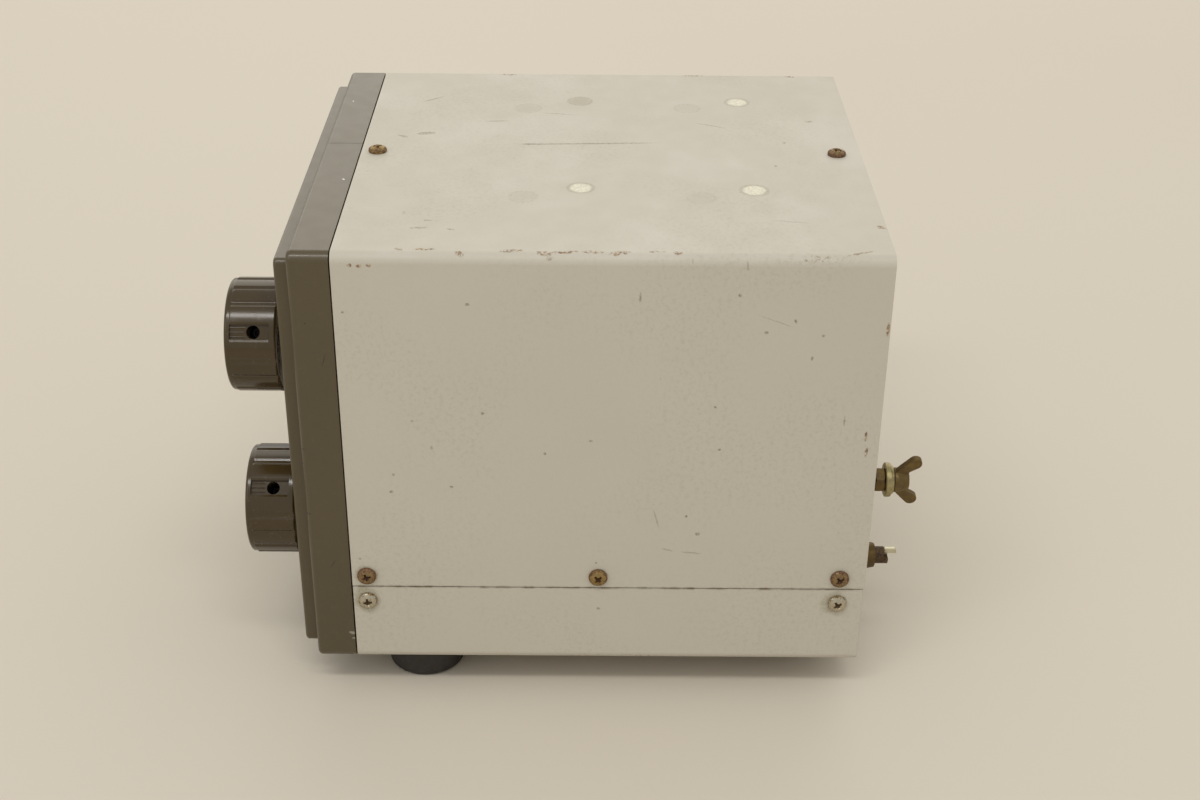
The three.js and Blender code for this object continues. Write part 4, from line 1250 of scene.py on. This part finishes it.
def make_jack(node):
    at = front_place(node)
    tip = PANEL_FACE - cad(node)[0].y
    outer = [(4.5, -13.8)] + threaded(4.7, -13.6, 0, 0.8) + [
        (7.2, 0.0), (7.2, 1.5), (6.9, 1.85), (5.6, 1.95), (5.2, 2.0), (4.95, 2.2), (4.8, 2.5),
        (4.8, tip - 6.6), (4.55, tip - 6.4), (4.55, tip - 5.4), (4.8, tip - 5.2), (4.8, tip - 0.35),
        (4.6, tip), (4.25, tip), (4.05, tip - 0.3), (4.05, tip - 8.5), (4.0, -13.8)]
    barrel = to_object(node + "_barrel", ring(outer))
    for side in (0, 180):
        lug = moved(turned([(1.0, 4.2), (1.0, 5.75), (0.8, 5.95)], 20), 0, 0, tip - 3.2, facing=ALONG_X)
        join(barrel, moved(lug, turn=side))
    put(barrel, NICKEL, "jack_nickel", at, replaces=[node])
    insulator = [(2.2, tip - 8.5), (3.95, tip - 8.5), (3.95, tip - 8.2), (2.4, tip - 8.1), (2.4, tip - 1.4),
                 (2.2, tip - 1.2), (1.1, tip - 1.2), (1.1, tip - 8.4)]
    add(node + "_insulator", ring(insulator, 48), WHITE_PLASTIC, "jack_nickel", at)
    contact = [(1.0, tip - 8.3), (1.0, tip - 1.7), (0.85, tip - 1.5), (0.5, tip - 1.5), (0.45, tip - 3.5)]
    add(node + "_contact", turned(contact, 32), GOLD, "jack_nickel", at)
    nut = panel_nut(node + "_nut", 7.9, 0.5, 2.6, 4.75, 14 + middle(node).x, 0.3)
    put(nut, NICKEL, "jack_nickel", at)


# ---------- Feet ----------
def make_foot(node):
    low, high = cad(node)
    centre = middle(node)
    at = place(centre.x, centre.y, 0, DOWN)
    height = high.z - low.z
    radius = (high.x - low.x) / 2
    sole = radius - 1.8
    outer = [(radius - 1.2, 0), (radius - 0.4, 0.15), (radius, 0.8), (radius, 2.0),
             (sole + 0.25, height - 2.6)]
    outer += arc(sole - 1.4, height - 1.6, 1.6, 0, 90, 6)[1:]
    tread = [(sole - 3.2, height), (sole - 3.5, height - 0.5), (sole - 4.0, height - 0.5),
             (sole - 4.3, height)]
    recess = [(5.6, height), (5.2, height - 0.35), (4.9, height - 6.5), (3.4, height - 6.6)]
    foot = turned([(radius - 2.5, 0)] + outer + tread + recess, 72)
    add(node + "_rubber", foot, RUBBER, "foot_rubber", at, replaces=[node])
    washer = [(2.2, height - 6.5), (4.5, height - 6.5), (4.5, height - 6.0), (2.2, height - 6.0)]
    add(node + "_washer", ring(washer, 40), ZINC, "bright_screw", at)
    dome = [(1.5, height - 6.6), (1.5, height - 6.0), (2.9, height - 6.0), (2.9, height - 5.4),
            (2.5, height - 4.8), (1.6, height - 4.4), (0.6, height - 4.3)]
    screw = to_object(node + "_screw", turned(dome, 40))
    for arm in (20, 110):
        cut(screw, moved(cross_arm(arm), z=height - 6.35))
    put(screw, BRIGHT, "bright_screw", at)


# ---------- Rear ground terminal ----------
def hexagon_nut(across, low, high, bore, turn=0):
    """A hexagon nut with rounded corners on both faces."""
    corner = across / math.sqrt(3)
    nut = to_object("nut", prism(circle(corner, 6, turn), low, high))
    height = high - low
    crown = turned([(across / 2 - 0.1, low), (corner + 0.05, low + min(0.5, height / 3)),
                    (corner + 0.05, high - min(0.5, height / 3)), (across / 2 - 0.1, high)], 64)
    boolean(nut, crown, "INTERSECT")
    cut(nut, prism(circle(bore, 40), low - 1, high + 1))
    mesh = bmesh.new()
    mesh.from_mesh(nut.data)
    bpy.data.objects.remove(nut)
    return mesh


def wing_outline(side, washer, boss, tip_radius, reach, tip_height):
    inner = 2.4
    points = [(inner, washer + 0.5), (4.7, washer + 0.9), (reach + 1.5, tip_height - 1.6)]
    points += arc(reach, tip_height, tip_radius, -46, 149, 12)
    points += [(4.4, boss - 0.2), (inner, boss - 0.5)]
    return [(side * x, y) for x, y in (points if side > 0 else reversed(points))]


def make_ground_terminal():
    at = rear_place("ground_stud")
    stud_end, collar_end, washer_end, wings_end = (
        cad("ground_" + part)[1].y - REAR_FACE for part in ("stud", "collar", "washer", "wing_nut"))
    stud = [(2.2, -7.8)] + threaded(2.5, -7.6, stud_end - 0.5, 0.8, 0.25) + [(1.7, stud_end)]
    add("ground_stud_thread", turned(stud, 40), DARK_BRASS, "terminal_brass", at, replaces=["ground_stud"])

    waist = collar_end / 2
    neck = [(2.62, waist - 0.16), (3.3, waist - 0.16), (3.3, waist + 0.46), (2.62, waist + 0.46)]
    collar = merged(hexagon_nut(7.7, 0.05, waist - 0.15, 2.6, 8), ring(neck, 48),
                    hexagon_nut(7.7, waist + 0.45, collar_end, 2.6, 31))
    add("ground_collar_nuts", collar, DARK_BRASS, "terminal_brass", at, replaces=["ground_collar"])

    low, step = collar_end + 0.05, washer_end - 0.9
    rim = (cad("ground_washer")[1].x - cad("ground_washer")[0].x) / 2
    washer = [(2.65, low), (rim - 0.3, low), (rim, low + 0.25), (rim, step - 0.3), (rim - 0.25, step),
              (5.1, step), (4.9, step + 0.1), (4.8, washer_end - 0.1), (4.6, washer_end), (2.65, washer_end)]
    add("ground_washer_disc", ring(washer, 72), WASHER_METAL, "terminal_washer", at,
        replaces=["ground_washer"])

    base, boss, tip_radius, reach = washer_end + 0.1, washer_end + 5.4, 2.2, 8.15
    tip_height = wings_end - tip_radius - 0.05
    body = [(3.2, base), (4.1, base), (4.3, base + 0.3), (4.25, base + 1.3), (3.5, boss - 0.5), (3.2, boss),
            (2.8, boss)]
    nut = to_object("ground_wing_nut_casting", turned(body, 48))
    for side in (1, -1):
        outline = wing_outline(side, base, boss, tip_radius, reach, tip_height)
        join(nut, loft([[(px, py, pz) for px, pz in outline] for py in (-1.15, 1.15)]))
    cut(nut, prism(circle(2.62, 40), base - 1, boss + 1))
    modify(nut, "REMESH", mode="VOXEL", voxel_size=0.16)
    modify(nut, "SMOOTH", factor=0.5, iterations=14)
    put(nut, DARK_BRASS, "terminal_brass", rear_place("ground_stud", 90 + WING_TILT), "ground_wing_nut",
        ["ground_wing_nut"])


# ---------- Rear trimmer, fuse holder and power inlet ----------
def make_trimmer():
    at = rear_place("trim_nut")
    top = cad("trim_nut")[1].y - REAR_FACE
    skirt = [(3.7, 3.3), (4.7, 3.3), (4.85, 3.6), (4.3, top - 0.3), (4.0, top), (3.7, top)]
    nut = merged(hexagon_nut(9, 0.05, 3.4, 3.7, 12), ring(skirt))
    add("trim_nut_body", nut, NUT_BRASS, "trim_nut_brass", at, replaces=["trim_nut"])
    bushing = [(3.18, -1), (3.3, -1)] + threaded(3.5, -0.9, 6.3, 0.6, 0.2) + [(3.18, 6.3)]
    add("trim_bushing", ring(bushing, 48), NUT_BRASS, "trim_nut_brass", at)

    end = cad("trim_shaft")[1].y - REAR_FACE
    shaft = to_object("trim_shaft_rod", turned([(3, -7.8), (3, end - 0.4), (2.6, end)], 48))
    tongue, lobe = 0.9, end - 3.0
    blank = [(-4, -4), (4, -4), (4, 4), (tongue, 4), (tongue, 1.3), (-tongue, 1.3), (-tongue, 4), (-4, 4)]
    cut(shaft, prism(blank, lobe, end + 1))
    upper_step = [(-4, 0.4), (-tongue, 0.4), (-tongue, 4), (-4, 4)]
    for side in (1, -1):
        step = [(side * px, py) for px, py in upper_step[::side]]
        cut(shaft, prism(step, lobe - 1.4, lobe + 1))
    soften(shaft, 0.15, angle=45)
    put(shaft, TRIM_METAL, "trim_shaft_metal", at, "trim_control", ["trim_shaft"])


def make_fuse_holder():
    holder = [(3.6, -20), (5.9, -20), (5.9, 0.2), (8.0, 0.2), (8.3, 0.5), (8.3, 1.9), (7.7, 2.5), (3.9, 2.5),
              (3.6, 2.2)]
    add("fuse_holder_body", ring(holder, 72), BLACK_PLASTIC, "switch_plastic", rear_place("fuse_holder"),
        replaces=["fuse_holder"])
    end = cad("fuse_cap")[1].y - REAR_FACE
    levels = [(6.1, 0.2, 2.75), (6.4, 0.4, 3.1), (6.4, 0.4, end - 0.7), (6.2, 0.25, end - 0.25),
              (5.7, 0.0, end)]
    stem = turned([(3.1, -17.5), (3.1, 3)], 32)
    cap = to_object("fuse_cap_body", merged(grooved(levels, 256, 16), stem))
    cut(cap, prism(rectangle(-4.6, 4.6, -0.7, 0.7, 0.6), end - 1.6, end + 1))
    put(cap, BLACK_PLASTIC, "switch_plastic", rear_place("fuse_holder", 20), "fuse_cap", ["fuse_cap"])


def make_power_inlet():
    at = rear_place("power_inlet")
    low, high = cad("power_inlet")
    face = high.y - REAR_FACE
    half_x, half_y = (high.x - low.x) / 2, (high.z - low.z) / 2
    obj = to_object("power_inlet_body", prism(rectangle(-half_x, half_x, -half_y, half_y, 1.6), 0.15, face))
    join(obj, prism(rectangle(-14, 14, -10, 10, 1.2), -16.9, 1))
    corners = [(-12, -8), (12, -8), (12, 4.4), (8.4, 8), (-8.4, 8), (-12, 4.4)]
    cut(obj, prism(corners, -13.8, face + 1))
    soften(obj, 0.35, steps=3)
    put(obj, BLACK_PLASTIC, "switch_plastic", at, replaces=["power_inlet"])
    pins = []
    for px, py in ((0, 3.5), (-7, -3.5), (7, -3.5)):
        pins.append(loft([raised(rectangle(px - 1 + i, px + 1 - i, py - 2 + i, py + 2 - i, 0.3), h)
                          for i, h in ((0, -13.9), (0, -4.6), (0.25, -4.1), (0.5, -4))]))
    add("power_inlet_pins", merged(*pins), NICKEL, "jack_nickel", at)


# ---------- CAD nodes that stay, with better materials ----------
KEPT_NODES = {
    "rear_panel": REAR_LOOK,
    "sub_panel": ZINC, "left_side_rail": ZINC, "right_side_rail": ZINC, "chassis_plate": ZINC,
    "range_switch": STEEL, "level_potentiometer": STEEL, "frequency_potentiometer": STEEL,
    "offset_potentiometer": STEEL, "trim_potentiometer": STEEL,
    "range_shaft": TURNED, "level_shaft": TURNED, "frequency_shaft": TURNED,
    "waveform_switch": BLACK_PLASTIC, "power_switch": BLACK_PLASTIC,
    "power_transformer": IRON, "main_board": BOARD,
}


def dress_kept_nodes():
    for node, look in KEPT_NODES.items():
        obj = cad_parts[node]
        obj.data.materials.clear()
        obj.data.materials.append(look)


# ---------- Floor, lights and camera ----------
def make_stage():
    look = Look("floor")
    look.color = look.mix(look.noise(700, detail=2), (216, 208, 194), (209, 200, 184))
    look.bump(look.noise(3), 0.05)
    floor = to_object("floor", prism(rectangle(-4000, 4000, -4000, 4000, 500), -2, 0))
    floor.data.transform(Matrix.Scale(MM, 4))
    floor.data.materials.append(look.done(0.62))

    world = bpy.data.worlds.new("studio")
    bpy.context.scene.world = world
    world.use_nodes = True
    background = world.node_tree.nodes["Background"]
    background.inputs["Color"].default_value = (1.0, 0.985, 0.955, 1)
    background.inputs["Strength"].default_value = 0.62
    bpy.context.scene.view_settings.view_transform = "Standard"


def area_light(name, at, size, power, color):
    """A rectangular light that points at the middle of the case."""
    light = bpy.data.lights.new(name, "AREA")
    light.shape = "RECTANGLE"
    light.size, light.size_y = size
    light.energy = power
    light.color = color
    obj = bpy.data.objects.new(name, light)
    x, y, z = obj.location = at
    obj.rotation_euler = Vector((-x, -y, 0.08 - z)).to_track_quat("-Z", "Y").to_euler()
    bpy.context.scene.collection.objects.link(obj)


def make_lights():
    area_light("ceiling", at=(0.82, -0.1, 1.6), size=(1.4, 0.2), power=9, color=(1.0, 0.98, 0.94))
    area_light("window", at=(0.9, -0.9, 1.1), size=(0.8, 0.8), power=2, color=(1.0, 1.0, 1.0))
    area_light("pale_wall", at=(-1.3, 0, 0.85), size=(2.4, 1.1), power=7.5, color=(1.0, 0.93, 0.79))


def make_camera():
    camera = bpy.data.cameras.new("camera")
    camera.lens = CAMERA["lens"]
    camera.sensor_width = 36
    camera.clip_start = 0.01
    obj = bpy.data.objects.new("camera", camera)
    bpy.context.scene.collection.objects.link(obj)
    turn = Vector(CAMERA["forward"]).to_track_quat("-Z", "Y").to_matrix().to_4x4()
    roll = Matrix.Rotation(math.radians(CAMERA["roll"]), 4, "Z")
    obj.matrix_world = Matrix.Translation(TO_ROW @ Vector(CAMERA["eye"])) @ turn @ roll
    bpy.context.scene.camera = obj


make_camera()
make_lights()
make_stage()
make_covers()
make_screws()
make_front_frame()
make_front_panel()
make_panel_marks()
for kind in ("range", "level"):
    make_clamp_knob(kind)
make_frequency_dial()
make_offset_knob()
make_keys()
make_lamp()
for jack in JACKS:
    make_jack(jack)
for foot in sorted(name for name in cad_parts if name.startswith("foot_")):
    make_foot(foot)
make_ground_terminal()
make_trimmer()
make_fuse_holder()
make_power_inlet()
dress_kept_nodes()
